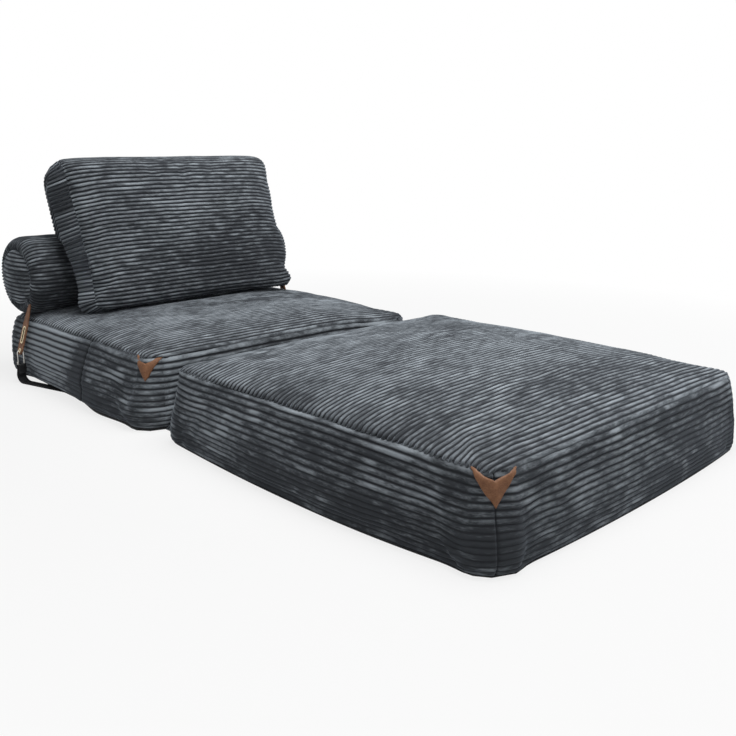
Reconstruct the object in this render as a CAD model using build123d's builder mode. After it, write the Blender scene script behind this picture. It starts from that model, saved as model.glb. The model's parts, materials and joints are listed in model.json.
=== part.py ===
from build123d import *
import os
from math import acos, atan2, cos, hypot, radians, sin

# Fold-out foam lounger, laid open: a seat block and a foot block joined by a fabric
# strip at floor level, a bolster strapped to the rear of the seat and a loose pillow
# leaning on it. Millimetres, +Z up, the foot end towards -Y, origin on the floor at the
# middle of the lounger's box.

# Foam blocks, measured between the seams that join top panel and side band
block_width = 1000.0
seat_length = 780.0
foot_length = 1000.0
seam_height = 190.0
seam_gap = 90.0
seat_crown = 30.0
foot_crown = 40.0
crown_run = 0.9
crown_steps = 3
corner_radius = 48.0
corner_growth = 0.35
corner_share = 0.5

# Swell of the side bands: height above the floor, spread beyond the seam, bow along the side
floor_tuck = 8.0
tuck_height = 14.0
swell_height = 60.0
swell_spread = 10.0
shoulder_height = 130.0
shoulder_spread = 7.0
seat_side_bow = 26.0
foot_side_bow = 38.0
seam_bow = 8.0
front_bow = 8.0
straight_bow = 4.0

# Covers
cover = 3.0
base_cover = 4.0
foam_gap = 0.3
foam_room = 5.0
rest_gap = 0.4

# Fold strip between the blocks
strip_width = 60.0
strip_thickness = 12.0
strip_length = 920.0
strip_crown = 3.0
fold_gap = 0.4

# Bolster
bolster_radius = 118.0
bolster_inset = 10.0
bolster_setback = 50.0
bolster_dent = 4.0
bolster_edge = 14.0
bolster_end_crown = 10.0
bolster_seam = 6.0
bolster_zip_angle = -25.0

# Pillow
pillow_width = 765.0
pillow_height = 452.0
pillow_gusset = 80.0
pillow_gusset_swell = 6.0
pillow_front_crown = 45.0
pillow_rear_crown = 13.0
pillow_corner = 55.0
pillow_side_bow = 5.0
pillow_top_bow = 9.0
pillow_bottom_bow = 4.0
pillow_lean = 20.0
pillow_sink = 11.0

# Zips
block_zip_length = 700.0
bolster_zip_length = 700.0
pillow_zip_length = 500.0
zip_width = 24.0
zip_tape = 1.6
zip_chain_width = 5.0
zip_chain_height = 1.8
zip_end = 8.0
slider_length = 18.0
slider_width = 11.0
slider_height = 5.0
pull_width = 7.0
pull_length = 18.0
pull_thickness = 1.6
slip = 0.3

# Leather corner patches
patch_reach = 64.0
patch_drop = 60.0
patch_thickness = 2.0
patch_gap = 0.15

# Bolster straps
strap_setback = 63.0
strap_drop = 76.0
strap_bottom = 86.0
strap_standoff = 28.0
strap_width = 30.0
strap_tip_width = 10.0
strap_thickness = 3.0
slot_width = 15.0
slot_length = 54.0
slot_rim = 3.5
slot_rise = 62.0
eyelet_diameter = 13.0
eyelet_bore = 6.6
eyelet_rise = 13.0
rim_proud = 0.7
hook_wire = 4.0
hook_width = 22.0
hook_length = 46.0
hook_corner = 6.0
gate_top = 16.0
gate_pivot = 36.0
knuckle_diameter = 5.2
knuckle_width = 3.0
pivot_pin = 2.0
cheek_thickness = 1.2
webbing_width = 32.0
webbing_thickness = 2.4
webbing_bend = 24.0
webbing_back = 8.0
webbing_run = 215.0
webbing_turn = 15.0
webbing_eye_width = 10.0
webbing_eye_wall = 2.2
webbing_eye_slack = 0.5

# Places worked out from the sizes above
seat_rear = seam_gap / 2 + seat_length
bolster_back = seat_rear - bolster_setback + bolster_radius
foot_front = seam_gap / 2 + foot_length + swell_spread + front_bow
fold_y = (foot_front - bolster_back) / 2
fold_reach = (seam_gap - strip_width) / 2
bolster_half = block_width / 2 - bolster_inset


class Block:
    """One foam block: its own frame starts at the fold line and runs away from it."""

    def __init__(self, name, x_way, length, crown, side_bow, end_bow):
        self.name = name
        self.plane = Plane(origin=(0, fold_y, 0), x_dir=(x_way, 0, 0), z_dir=(0, 0, 1))
        self.length = length
        self.crown = crown
        self.side_bow = side_bow
        self.end_bow = end_bow

    def run(self):
        """How far the crown reaches in from the seam."""
        return crown_run * min(block_width, self.length) / 2

    def levels(self):
        """Height, spread, reach towards the fold, side bow and end bow, from the floor up."""
        swell = self.side_bow
        return (
            (0, -floor_tuck, fold_reach, swell - floor_tuck, 0),
            (tuck_height, swell_spread / 2, fold_reach, swell, 0),
            (swell_height, swell_spread, fold_reach, swell, 0),
            (shoulder_height, shoulder_spread, fold_reach / 2, (swell + seam_bow) / 2, 0),
            (seam_height, 0, 0, seam_bow, straight_bow),
        )


seat = Block("seat", 1, seat_length, seat_crown, seat_side_bow, 0)
foot = Block("foot", -1, foot_length, foot_crown, foot_side_bow, front_bow)


def crown_height(rise, run, inset):
    """Height of a crown at a distance in from its seam, on a line between its sections."""
    sections = crown_sections(0, rise, run)
    step = min(int(crown_steps * inset / run), crown_steps - 1)
    (near, low), (far, high) = sections[step], sections[step + 1]
    return low + (high - low) * min((inset - near) / (far - near), 1)


def corner_arc(centre_x, centre_y, radius, start):
    """A quarter circle, anticlockwise from the angle start."""
    points = []
    for turn in (0, 45, 90):
        angle = radians(start + turn)
        points.append((centre_x + radius * cos(angle), centre_y + radius * sin(angle)))
    ThreePointArc(*points)


def soft_outline(half, near, far, radius, side_bow, far_bow, near_bow):
    """Rounded outline with bowed sides and near and far edges that may bow."""
    middle = (near + far) / 2
    if near_bow:
        ThreePointArc((-half + radius, near), (0, near - near_bow), (half - radius, near))
    else:
        Line((-half + radius, near), (half - radius, near))
    corner_arc(half - radius, near + radius, radius, -90)
    ThreePointArc((half, near + radius), (half + side_bow, middle), (half, far - radius))
    corner_arc(half - radius, far - radius, radius, 0)
    if far_bow:
        ThreePointArc((half - radius, far), (0, far + far_bow), (-half + radius, far))
    else:
        Line((half - radius, far), (-half + radius, far))
    corner_arc(-half + radius, far - radius, radius, 90)
    ThreePointArc((-half, far - radius), (-half - side_bow, middle), (-half, near + radius))
    corner_arc(-half + radius, near + radius, radius, 180)


def crown_sections(inset, rise, run):
    """Distance in from the seam and height of the sections that shape a crown."""
    sections = []
    for step in range(crown_steps + 1):
        share = step / crown_steps
        reach = inset + (run - inset) * share
        sections.append((reach, (rise - inset) * sin(acos(1 - share))))
    return sections


def block_sides(block, inset, mode=Mode.ADD):
    """The block below its top seam, drawn in by inset."""
    sections = []
    for height, spread, reach, bow, end_bow in block.levels():
        with BuildSketch(block.plane.offset(height)) as section:
            with BuildLine():
                soft_outline(
                    block_width / 2 + spread - inset,
                    seam_gap / 2 - reach + inset,
                    seam_gap / 2 + block.length + spread - inset,
                    corner_radius,
                    bow,
                    max(block.end_bow, end_bow),
                    end_bow,
                )
            make_face()
        sections.append(section.sketch)
    loft(sections, mode=mode)


def block_crown(block, inset, drop=0):
    """The crowned top of the block, drawn in by inset and lowered by drop."""
    sections = []
    for reach, height in crown_sections(inset, block.crown, block.run()):
        half = block_width / 2 - reach
        share = 1 - crown_run * (reach - inset) / block.run()
        radius = corner_radius + corner_growth * (reach - inset)
        slim = min(half, block.length / 2 - reach)
        with BuildSketch(block.plane.offset(seam_height + height - drop)) as section:
            with BuildLine():
                soft_outline(
                    half,
                    seam_gap / 2 + reach,
                    seam_gap / 2 + block.length - reach,
                    min(radius, corner_share * slim),
                    seam_bow * share,
                    max(block.end_bow, straight_bow) * share,
                    straight_bow * share,
                )
            make_face()
        sections.append(section.sketch)
    loft(sections)


# Bolster place: it sinks a little into the crown of the seat
seat_top = seam_height + seat_crown
bolster_y = fold_y + seat_rear - bolster_setback
bolster_bed = seam_height + crown_height(seat_crown, seat.run(), bolster_setback)
bolster_z = bolster_bed - bolster_dent + bolster_radius
bolster_axis = Location((0, bolster_y, bolster_z), (0, 90, 0))


def press_bolster(depth):
    """Hollow that the bolster presses into the seat, depth below the fabric."""
    with Locations(bolster_axis):
        Cylinder(bolster_radius + rest_gap + depth, 2 * block_width, mode=Mode.SUBTRACT)


# Zips: tape with a raised chain, and a slider that straddles the chain
def zip_slot(plane, length):
    """Opening in a cover for a zip tape."""
    with BuildSketch(plane.offset(-cover)) as opening:
        Rectangle(length + 2 * slip, zip_width + 2 * slip)
    extrude(opening.sketch, amount=2 * cover, mode=Mode.SUBTRACT)


def zip_tape_and_chain(plane, length):
    """Tape flush with the cover and its chain standing proud."""
    with BuildSketch(plane) as tape:
        Rectangle(length, zip_width)
    extrude(tape.sketch, amount=-zip_tape)
    with BuildSketch(plane) as chain:
        Rectangle(length - 2 * zip_end, zip_chain_width)
    extrude(chain.sketch, amount=zip_chain_height)


def zip_slider(plane, length):
    """Slider body and pull tab, parked at the closed end."""
    parked = length / 2 - zip_end - slider_length
    with BuildSketch(plane.offset(slip)) as body:
        with Locations((parked, 0)):
            RectangleRounded(slider_length, slider_width, slider_width / 4)
    extrude(body.sketch, amount=slider_height)
    with BuildSketch(plane.offset(slip)) as channel:
        with Locations((parked, 0)):
            Rectangle(2 * slider_length, zip_chain_width + 2 * slip)
    extrude(channel.sketch, amount=zip_chain_height, mode=Mode.SUBTRACT)
    with BuildSketch(plane.offset(slip + slider_height)) as pull:
        with Locations((parked, pull_length / 2)):
            RectangleRounded(pull_width, pull_length, pull_width / 3)
    extrude(pull.sketch, amount=pull_thickness)


def save(piece, name):
    """Label a finished piece and write it."""
    piece.part.label = name
    export_step(piece.part, f"parts/{name}.step")


os.makedirs("parts", exist_ok=True)

seat_zip_plane = Plane(
    origin=(0, fold_y + seat_rear + swell_spread, swell_height), x_dir=(1, 0, 0), z_dir=(0, 1, 0)
)
foot_zip_plane = Plane(
    origin=(0, fold_y - seam_gap / 2 + fold_reach, swell_height), x_dir=(1, 0, 0), z_dir=(0, 1, 0)
)
zip_planes = {"seat": seat_zip_plane, "foot": foot_zip_plane}


def end_cap_reach(half, rim, distance):
    """How far a crowned end of the roll reaches out, at a distance from its axis."""
    ball = (rim**2 + bolster_end_crown**2) / (2 * bolster_end_crown)
    return half + bolster_end_crown - ball + (ball**2 - distance**2) ** 0.5


# Strap frame for the left side; the right side mirrors it
strap_foot = block_width / 2 + swell_spread + strap_standoff
strap_seat = hypot(strap_setback - strap_tip_width / 2, strap_drop)
strap_head = end_cap_reach(bolster_half, bolster_radius - bolster_edge, strap_seat) + patch_gap
strap_top = bolster_z - strap_drop
strap_tilt = atan2(strap_foot - strap_head, strap_top - strap_bottom)
strap_y = bolster_y - strap_setback
strap_plane = Plane(
    origin=(-strap_foot, strap_y, strap_bottom),
    x_dir=(0, -1, 0),
    z_dir=(-cos(strap_tilt), 0, sin(strap_tilt)),
)
eyelet_point = strap_plane.from_local_coords((0, eyelet_rise, strap_thickness / 2))
toe_in = radians(webbing_turn)
webbing_way = Vector(sin(toe_in), -cos(toe_in), 0)
bar_way = Vector(-cos(toe_in), -sin(toe_in), 0)
hook_plane = Plane(origin=eyelet_point, x_dir=bar_way, z_dir=-webbing_way)
webbing_plane = Plane(
    origin=(eyelet_point.X, eyelet_point.Y, 0), x_dir=webbing_way, z_dir=bar_way
)
webbing_eye_height = eyelet_point.Z - hook_length
webbing_eye_bore = hook_wire / 2 + webbing_eye_slack


# Foam blocks with their covers
for block in (seat, foot):
    pressed = block is seat
    zip_plane = zip_planes[block.name]

    with BuildPart() as foam_core:
        block_sides(block, cover + foam_room)
        split(bisect_by=Plane.XY.offset(seam_height - foam_room), keep=Keep.BOTTOM)
        split(bisect_by=Plane.XY.offset(base_cover + foam_gap), keep=Keep.TOP)
        block_crown(block, cover + foam_room, foam_room)
        if pressed:
            press_bolster(cover + foam_room)
    save(foam_core, f"{block.name}_foam_core")

    with BuildPart() as hollow:
        block_crown(block, cover)
        if pressed:
            press_bolster(cover)

    with BuildPart() as top_panel:
        block_crown(block, 0)
        if pressed:
            press_bolster(0)
        add(hollow.part, mode=Mode.SUBTRACT)
    save(top_panel, f"{block.name}_top_panel")

    with BuildPart() as side_band:
        block_sides(block, 0)
        block_sides(block, cover, mode=Mode.SUBTRACT)
        split(bisect_by=Plane.XY.offset(base_cover), keep=Keep.TOP)
        zip_slot(zip_plane, block_zip_length)
    save(side_band, f"{block.name}_side_band")

    with BuildPart() as base_panel:
        block_sides(block, 0)
        split(bisect_by=Plane.XY.offset(base_cover), keep=Keep.BOTTOM)
        if pressed:
            for way in (1, -1):
                with BuildSketch(Plane.XY):
                    with Locations(Location((way * eyelet_point.X, eyelet_point.Y), way * webbing_turn)):
                        Rectangle(webbing_width + 2 * slip, 2 * webbing_run + 2 * slip)
                extrude(amount=webbing_thickness + slip, mode=Mode.SUBTRACT)
    save(base_panel, f"{block.name}_base_panel")

    with BuildPart() as zip_chain:
        zip_tape_and_chain(zip_plane, block_zip_length)
    save(zip_chain, f"{block.name}_zip")

    with BuildPart() as slider:
        zip_slider(zip_plane, block_zip_length)
    save(slider, f"{block.name}_zip_slider")

    # Half of the fold strip, from the fold line to the block's foot
    with BuildPart() as strip_half:
        across = Plane(
            origin=block.plane.origin, x_dir=block.plane.y_dir, z_dir=block.plane.x_dir
        )
        with BuildSketch(across):
            with BuildLine():
                near = fold_gap / 2
                far = strip_width / 2 - foam_gap
                edge = strip_thickness - strip_crown
                Line((near, 0), (far, 0))
                Line((far, 0), (far, edge))
                ThreePointArc((far, edge), ((near + far) / 2, strip_thickness), (near, edge))
                Line((near, edge), (near, 0))
            make_face()
        extrude(amount=strip_length / 2, both=True)
    save(strip_half, f"fold_strip_{block.name}_half")


# Leather patches over the corners at the top seam, as folded triangles
def corner_patch(block, x_side, y_side):
    """Triangle of a skin just outside the side band; y_side is 1 away from the fold."""
    block_sides(block, -patch_gap - patch_thickness)
    block_sides(block, -patch_gap, mode=Mode.SUBTRACT)
    x_corner = x_side * block_width / 2
    y_corner = seam_gap / 2 + (block.length if y_side > 0 else 0)
    corner = block.plane.from_local_coords((x_corner, y_corner, seam_height))
    beyond = block.plane.from_local_coords((x_corner + x_side, y_corner + y_side, seam_height))
    way = beyond - corner
    reach = patch_reach * cos(radians(45))
    with BuildSketch(Plane(origin=corner, x_dir=Vector(0, 0, 1).cross(way), z_dir=way)) as triangle:
        with BuildLine():
            Polyline((-reach, 0), (reach, 0), (0, -patch_drop), close=True)
        make_face()
    extrude(triangle.sketch, amount=2 * patch_reach, both=True, mode=Mode.INTERSECT)


with BuildPart() as front_patch:
    corner_patch(seat, -1, -1)

with BuildPart() as rear_patch:
    corner_patch(seat, -1, 1)

with BuildPart() as seat_patches:
    add(front_patch.part)
    add(rear_patch.part)
save(seat_patches, "seat_corner_patches")

with BuildPart() as foot_patch:
    corner_patch(foot, 1, 1)
save(foot_patch, "foot_corner_patch")


# Bolster: a straight roll with rounded edges and crowned ends
def bolster_form(inset, mode=Mode.ADD):
    """The whole roll, drawn in by inset."""
    radius = bolster_radius - inset
    half = bolster_half - inset
    edge = bolster_edge - inset
    bend = edge * (1 - cos(radians(45)))
    tip = half + bolster_end_crown
    rim = radius - edge
    belly = end_cap_reach(half, rim, rim / 2)
    plane = Plane(origin=(0, bolster_y, bolster_z), x_dir=(1, 0, 0), z_dir=(0, -1, 0))
    with BuildSketch(plane) as profile:
        with BuildLine():
            Line((-half + edge, radius), (half - edge, radius))
            ThreePointArc((half - edge, radius), (half - bend, radius - bend), (half, rim))
            ThreePointArc((half, rim), (belly, rim / 2), (tip, 0))
            Line((tip, 0), (-tip, 0))
            ThreePointArc((-tip, 0), (-belly, rim / 2), (-half, rim))
            ThreePointArc((-half, rim), (-half + bend, radius - bend), (-half + edge, radius))
        make_face()
    revolve(profile.sketch, axis=Axis((0, bolster_y, bolster_z), (1, 0, 0)), mode=mode)


zip_lift = radians(bolster_zip_angle)
bolster_zip_plane = Plane(
    origin=(
        0,
        bolster_y + bolster_radius * cos(zip_lift),
        bolster_z + bolster_radius * sin(zip_lift),
    ),
    x_dir=(1, 0, 0),
    z_dir=(0, cos(zip_lift), sin(zip_lift)),
)
cap_seam = bolster_half - bolster_seam

with BuildPart() as bolster_core:
    bolster_form(cover + foam_gap)
save(bolster_core, "bolster_foam_core")

with BuildPart() as bolster_wrap:
    bolster_form(0)
    bolster_form(cover, mode=Mode.SUBTRACT)
    split(bisect_by=Plane.YZ.offset(cap_seam), keep=Keep.BOTTOM)
    split(bisect_by=Plane.YZ.offset(-cap_seam), keep=Keep.TOP)
    zip_slot(bolster_zip_plane, bolster_zip_length)
save(bolster_wrap, "bolster_wrap")

for side, way in (("left", -1), ("right", 1)):
    with BuildPart() as end_cap:
        bolster_form(0)
        bolster_form(cover, mode=Mode.SUBTRACT)
        split(bisect_by=Plane.YZ.offset(way * cap_seam), keep=Keep.TOP if way > 0 else Keep.BOTTOM)
    save(end_cap, f"bolster_end_cap_{side}")

with BuildPart() as bolster_zip:
    zip_tape_and_chain(bolster_zip_plane, bolster_zip_length)
save(bolster_zip, "bolster_zip")

with BuildPart() as bolster_slider:
    zip_slider(bolster_zip_plane, bolster_zip_length)
save(bolster_slider, "bolster_zip_slider")


# Pillow: a boxed cushion that leans on the bolster and stands flat on the seat
lean = radians(pillow_lean)
pillow_foot = seat_top - pillow_sink
pillow_back = bolster_radius + rest_gap + pillow_rear_crown + pillow_gusset / 2
pillow_y = bolster_y - (pillow_back + sin(lean) * (bolster_z - pillow_foot)) / cos(lean)
pillow_plane = Plane(
    origin=(0, pillow_y, pillow_foot), x_dir=(1, 0, 0), z_dir=(0, -cos(lean), sin(lean))
)
pillow_run = crown_run * min(pillow_width, pillow_height) / 2
pillow_setback = fold_y + seat_rear - pillow_y + pillow_gusset / 2 * cos(lean)
pillow_bed = seam_height + crown_height(seat_crown, seat.run(), pillow_setback)


def pillow_section(depth, reach, spread, share, radius):
    """Section of the pillow at a depth, drawn in by reach and swollen by spread."""
    with BuildSketch(pillow_plane.offset(depth)) as section:
        with BuildLine():
            soft_outline(
                pillow_width / 2 + spread - reach,
                reach - spread,
                pillow_height + spread - reach,
                radius,
                pillow_side_bow * share,
                pillow_top_bow * share,
                -pillow_bottom_bow * share,
            )
        make_face()
    return section.sketch


def pillow_gusset_form(inset, drop=0):
    """Boxing between the two seams, drawn in by inset and shortened by drop at each."""
    sections = []
    for side, spread in ((-1, 0), (0, pillow_gusset_swell), (1, 0)):
        depth = side * (pillow_gusset / 2 - drop)
        sections.append(pillow_section(depth, inset, spread, 1, pillow_corner))
    loft(sections)


def pillow_crown(inset, side, rise, drop=0):
    """Crowned face on the front (side 1) or the rear (side -1), lowered by drop."""
    sections = []
    for reach, height in crown_sections(inset, rise, pillow_run):
        share = 1 - crown_run * (reach - inset) / pillow_run
        slim = min(pillow_width, pillow_height) / 2 - reach
        radius = min(pillow_corner + corner_growth * (reach - inset), corner_share * slim)
        depth = side * (pillow_gusset / 2 + height - drop)
        sections.append(pillow_section(depth, reach, 0, share, radius))
    loft(sections)


def stand_on_seat(depth):
    """Cut the pillow flat where it stands on the seat."""
    split(bisect_by=Plane.XY.offset(pillow_bed + rest_gap + depth), keep=Keep.TOP)


faces = {"front": (1, pillow_front_crown), "rear": (-1, pillow_rear_crown)}
zip_reach, zip_rise = crown_sections(0, pillow_rear_crown, pillow_run)[1]
next_reach, next_rise = crown_sections(0, pillow_rear_crown, pillow_run)[2]
zip_lean = lean + atan2(next_rise, next_reach)
pillow_zip_plane = Plane(
    origin=pillow_plane.from_local_coords((0, zip_reach, -pillow_gusset / 2 - zip_rise)),
    x_dir=(1, 0, 0),
    z_dir=(0, cos(zip_lean), -sin(zip_lean)),
)

# The filling's weight presses its foot down on the cover
with BuildPart() as filling_foot:
    with BuildSketch(pillow_plane):
        with Locations((0, pillow_height / 4)):
            Rectangle(pillow_width - 4 * pillow_corner, pillow_height / 2)
    extrude(amount=-pillow_gusset / 4)
    stand_on_seat(cover + foam_gap)

with BuildPart() as pillow_filling:
    pillow_gusset_form(cover + foam_room, foam_room)
    for side, rise in faces.values():
        pillow_crown(cover + foam_room, side, rise, foam_room)
    stand_on_seat(cover + foam_room)
    add(filling_foot.part)
save(pillow_filling, "pillow_filling")

for face, (side, rise) in faces.items():
    with BuildPart() as pillow_hollow:
        pillow_crown(cover, side, rise)
        stand_on_seat(cover)

    with BuildPart() as pillow_panel:
        pillow_crown(0, side, rise)
        stand_on_seat(0)
        add(pillow_hollow.part, mode=Mode.SUBTRACT)
        if face == "rear":
            zip_slot(pillow_zip_plane, pillow_zip_length)
    save(pillow_panel, f"pillow_{face}_panel")

with BuildPart() as gusset_hollow:
    pillow_gusset_form(cover)
    stand_on_seat(cover)

with BuildPart() as pillow_band:
    pillow_gusset_form(0)
    stand_on_seat(0)
    add(gusset_hollow.part, mode=Mode.SUBTRACT)
save(pillow_band, "pillow_gusset")

with BuildPart() as pillow_zip:
    zip_tape_and_chain(pillow_zip_plane, pillow_zip_length)
save(pillow_zip, "pillow_zip")

with BuildPart() as pillow_slider:
    zip_slider(pillow_zip_plane, pillow_zip_length)
save(pillow_slider, "pillow_zip_slider")


# Bolster straps: a leather tab on the end cap, its metal rims, a snap hook and a webbing loop
strap_rise = (strap_top - strap_bottom) / cos(strap_tilt)


def leather_strap():
    """Tab that tapers to the end cap, with a slot and a hole for the metal rims."""
    with BuildSketch(strap_plane) as tab:
        with BuildLine():
            half = strap_width / 2
            tip = strap_tip_width / 2
            shoulder = slot_rise + slot_length / 2
            Line((half, half), (half, shoulder))
            Line((half, shoulder), (tip, strap_rise))
            Line((tip, strap_rise), (-tip, strap_rise))
            Line((-tip, strap_rise), (-half, shoulder))
            Line((-half, shoulder), (-half, half))
            ThreePointArc((-half, half), (0, 0), (half, half))
        make_face()
        with Locations((0, slot_rise)):
            SlotOverall(slot_length + patch_gap, slot_width + patch_gap, 90, mode=Mode.SUBTRACT)
        with Locations((0, eyelet_rise)):
            Circle((eyelet_diameter + patch_gap) / 2, mode=Mode.SUBTRACT)
    extrude(tab.sketch, amount=strap_thickness)


def strap_rims():
    """Oval rim in the slot and round eyelet below it, both a little proud."""
    with BuildSketch(strap_plane.offset(-rim_proud)) as rims:
        with Locations((0, slot_rise)):
            SlotOverall(slot_length, slot_width, 90)
            SlotOverall(
                slot_length - 2 * slot_rim, slot_width - 2 * slot_rim, 90, mode=Mode.SUBTRACT
            )
        with Locations((0, eyelet_rise)):
            Circle(eyelet_diameter / 2)
            Circle(eyelet_bore / 2, mode=Mode.SUBTRACT)
    extrude(rims.sketch, amount=strap_thickness + 2 * rim_proud)


def hook_body():
    """Wire frame of the snap hook with the cheeks and pin of its gate."""
    bar = hook_width / 2
    with BuildLine(hook_plane) as frame:
        FilletPolyline(
            (bar, -gate_top + slip),
            (bar, 0),
            (-bar, 0),
            (-bar, -hook_length),
            (bar, -hook_length),
            (bar, -gate_pivot - knuckle_diameter / 2 - slip),
            radius=hook_corner,
        )
    with BuildSketch(Plane(origin=hook_plane.from_local_coords((bar, -gate_top + slip, 0)))) as wire:
        Circle(hook_wire / 2)
    sweep(wire.sketch, path=frame.line)
    spread = knuckle_width / 2 + slip
    cheek = knuckle_diameter + 2 * slip
    for way in (1, -1):
        with BuildSketch(hook_plane.offset(way * spread)) as plate:
            with Locations((bar, -gate_pivot - cheek / 2)):
                SlotOverall(2 * cheek, knuckle_diameter, 90)
        extrude(plate.sketch, amount=way * cheek_thickness)
    with BuildSketch(hook_plane) as pin:
        with Locations((bar, -gate_pivot)):
            Circle(pivot_pin / 2)
    extrude(pin.sketch, amount=spread + cheek_thickness / 2, both=True)


def hook_gate():
    """Sprung gate: a knuckle on the pin and a rod that closes the frame."""
    bar = hook_width / 2
    with BuildSketch(hook_plane) as knuckle:
        with Locations((bar, -gate_pivot)):
            Circle(knuckle_diameter / 2)
    extrude(knuckle.sketch, amount=knuckle_width / 2, both=True)
    with BuildSketch(Plane(origin=hook_plane.from_local_coords((bar, -gate_pivot, 0)))) as rod:
        Circle(knuckle_width / 2)
    extrude(rod.sketch, amount=gate_pivot - gate_top)
    with BuildSketch(hook_plane) as bore:
        with Locations((bar, -gate_pivot)):
            Circle(pivot_pin / 2 + slip)
    extrude(bore.sketch, amount=knuckle_width, both=True, mode=Mode.SUBTRACT)


def webbing_loop():
    """Band from the hook down to the floor and forward under the seat, with a sewn eye."""
    floor_line = webbing_thickness / 2
    with BuildSketch(webbing_plane) as band:
        with BuildLine():
            FilletPolyline(
                (0, webbing_eye_height - webbing_eye_bore - webbing_eye_wall / 2),
                (-webbing_back, floor_line),
                (webbing_run, floor_line),
                radius=webbing_bend,
            )
        trace(line_width=webbing_thickness)
    extrude(band.sketch, amount=webbing_width / 2, both=True)
    with BuildSketch(webbing_plane) as eye:
        with Locations((0, webbing_eye_height)):
            Circle(webbing_eye_bore + webbing_eye_wall)
    extrude(eye.sketch, amount=webbing_eye_width / 2, both=True)
    with BuildSketch(webbing_plane) as bore:
        with Locations((0, webbing_eye_height)):
            Circle(webbing_eye_bore)
    extrude(bore.sketch, amount=webbing_width, both=True, mode=Mode.SUBTRACT)


strap_pieces = {
    "strap": leather_strap,
    "strap_rims": strap_rims,
    "snap_hook": hook_body,
    "snap_hook_gate": hook_gate,
    "webbing_loop": webbing_loop,
}
for name, shape in strap_pieces.items():
    with BuildPart() as left_piece:
        shape()
    save(left_piece, f"{name}_left")

    with BuildPart() as right_piece:
        shape()
        mirror(about=Plane.YZ, mode=Mode.REPLACE)
    save(right_piece, f"{name}_right")
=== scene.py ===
import json
from math import ceil, cos, pi, radians, sin

import bpy
import numpy as np
from bpy.props import FloatProperty, FloatVectorProperty, PointerProperty
from mathutils import Matrix, Vector


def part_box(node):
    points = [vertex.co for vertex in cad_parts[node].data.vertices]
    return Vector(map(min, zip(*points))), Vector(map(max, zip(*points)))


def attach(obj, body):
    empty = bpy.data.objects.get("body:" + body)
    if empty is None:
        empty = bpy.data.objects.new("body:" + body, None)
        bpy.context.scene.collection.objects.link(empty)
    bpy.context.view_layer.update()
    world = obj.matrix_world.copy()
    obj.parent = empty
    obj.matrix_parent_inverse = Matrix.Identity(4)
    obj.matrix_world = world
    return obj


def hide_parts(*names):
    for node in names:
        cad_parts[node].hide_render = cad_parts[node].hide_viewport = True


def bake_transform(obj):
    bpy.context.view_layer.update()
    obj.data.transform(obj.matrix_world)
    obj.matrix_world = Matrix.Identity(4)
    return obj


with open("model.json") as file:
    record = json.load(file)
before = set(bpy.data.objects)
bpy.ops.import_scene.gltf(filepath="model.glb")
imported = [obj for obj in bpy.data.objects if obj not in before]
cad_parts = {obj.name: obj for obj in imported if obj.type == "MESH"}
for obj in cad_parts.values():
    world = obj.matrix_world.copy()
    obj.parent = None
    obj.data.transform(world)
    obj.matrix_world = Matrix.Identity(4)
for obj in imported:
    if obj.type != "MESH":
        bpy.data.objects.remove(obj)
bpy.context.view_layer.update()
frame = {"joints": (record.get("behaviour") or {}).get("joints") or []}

bl_info = {
    "name": "Corduroy fold-out lounger",
    "version": (1, 0, 0),
    "blender": (4, 5, 0),
    "location": "View3D > Sidebar > Lounger",
    "description": "Dresses the fold-out foam lounger in ribbed corduroy, leather and metal",
    "category": "Object",
}

SEAT = "seat_block"
FOOT = "foot_block"
PILLOW = "pillow"

# Places across one rib, closest together at the valleys
RIB_STEPS = np.array((0.0, 0.12, 0.3, 0.5, 0.7, 0.88))
# Share of a rib's height that lies below the surface of the stuffed cover
RIB_SUNK = 0.65

# Extra places beside a seam that crosses the ribs, and how far the other places keep from them
SEAM_STEPS = (-0.006, -0.003, -0.0012, 0, 0.0012, 0.003, 0.006)
SEAM_ROOM = 0.002
# Distance over which such a seam darkens the ribs
SEAM_LINE = 0.0016

# Lumps in the cloth, in metres along and across the ribs
CRUSHED = (0.16, 0.05)
SWAY = (0.07, 0.05)
CLOUDS = (0.20, 0.11)
SMALL_CLOUDS = (0.07, 0.045)
FROSTED = (0.17, 0.07)

# Lumps along single ribs: their length in metres, then the step from rib to rib and the start in the noise
UNEVEN = (0.022, 0.77, 3)
STRAY = (0.025, 1.31, 0)
STREAKS = (0.03, 0.91, 11)
FROST = (0.045, 0.87, 5)

# Lumps in the stuffing, in metres down and along a panel
SWELLS = (0.11, 0.13)
SMALL_SWELLS = (0.05, 0.06)

# How much of a rib's height is uneven or crushed
UNEVEN_SHARE = 0.14
CRUSHED_SHARE = 0.16

# The nap, from 0 brushed down to 1 brushed up: its mean, and what streaks and patches add to it
NAP_MEAN = 0.56
NAP_STREAKS = 0.14
NAP_CLOUDS = 0.24
NAP_FROST = 0.62
NAP_PATCH_MEAN = 0.14

# Slopes round a zip, outer and inner edge, beyond its ends and beside it, and how deep they reach
PRESSED = ((0.05, 0.008), (0.042, 0.018), 0.05)
TAPED = ((0.014, 0.002), (0.019, 0.012), 0.02)
# Depth of the flat place in which a zip lies
ZIP_DEPTH = 0.0022

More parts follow.
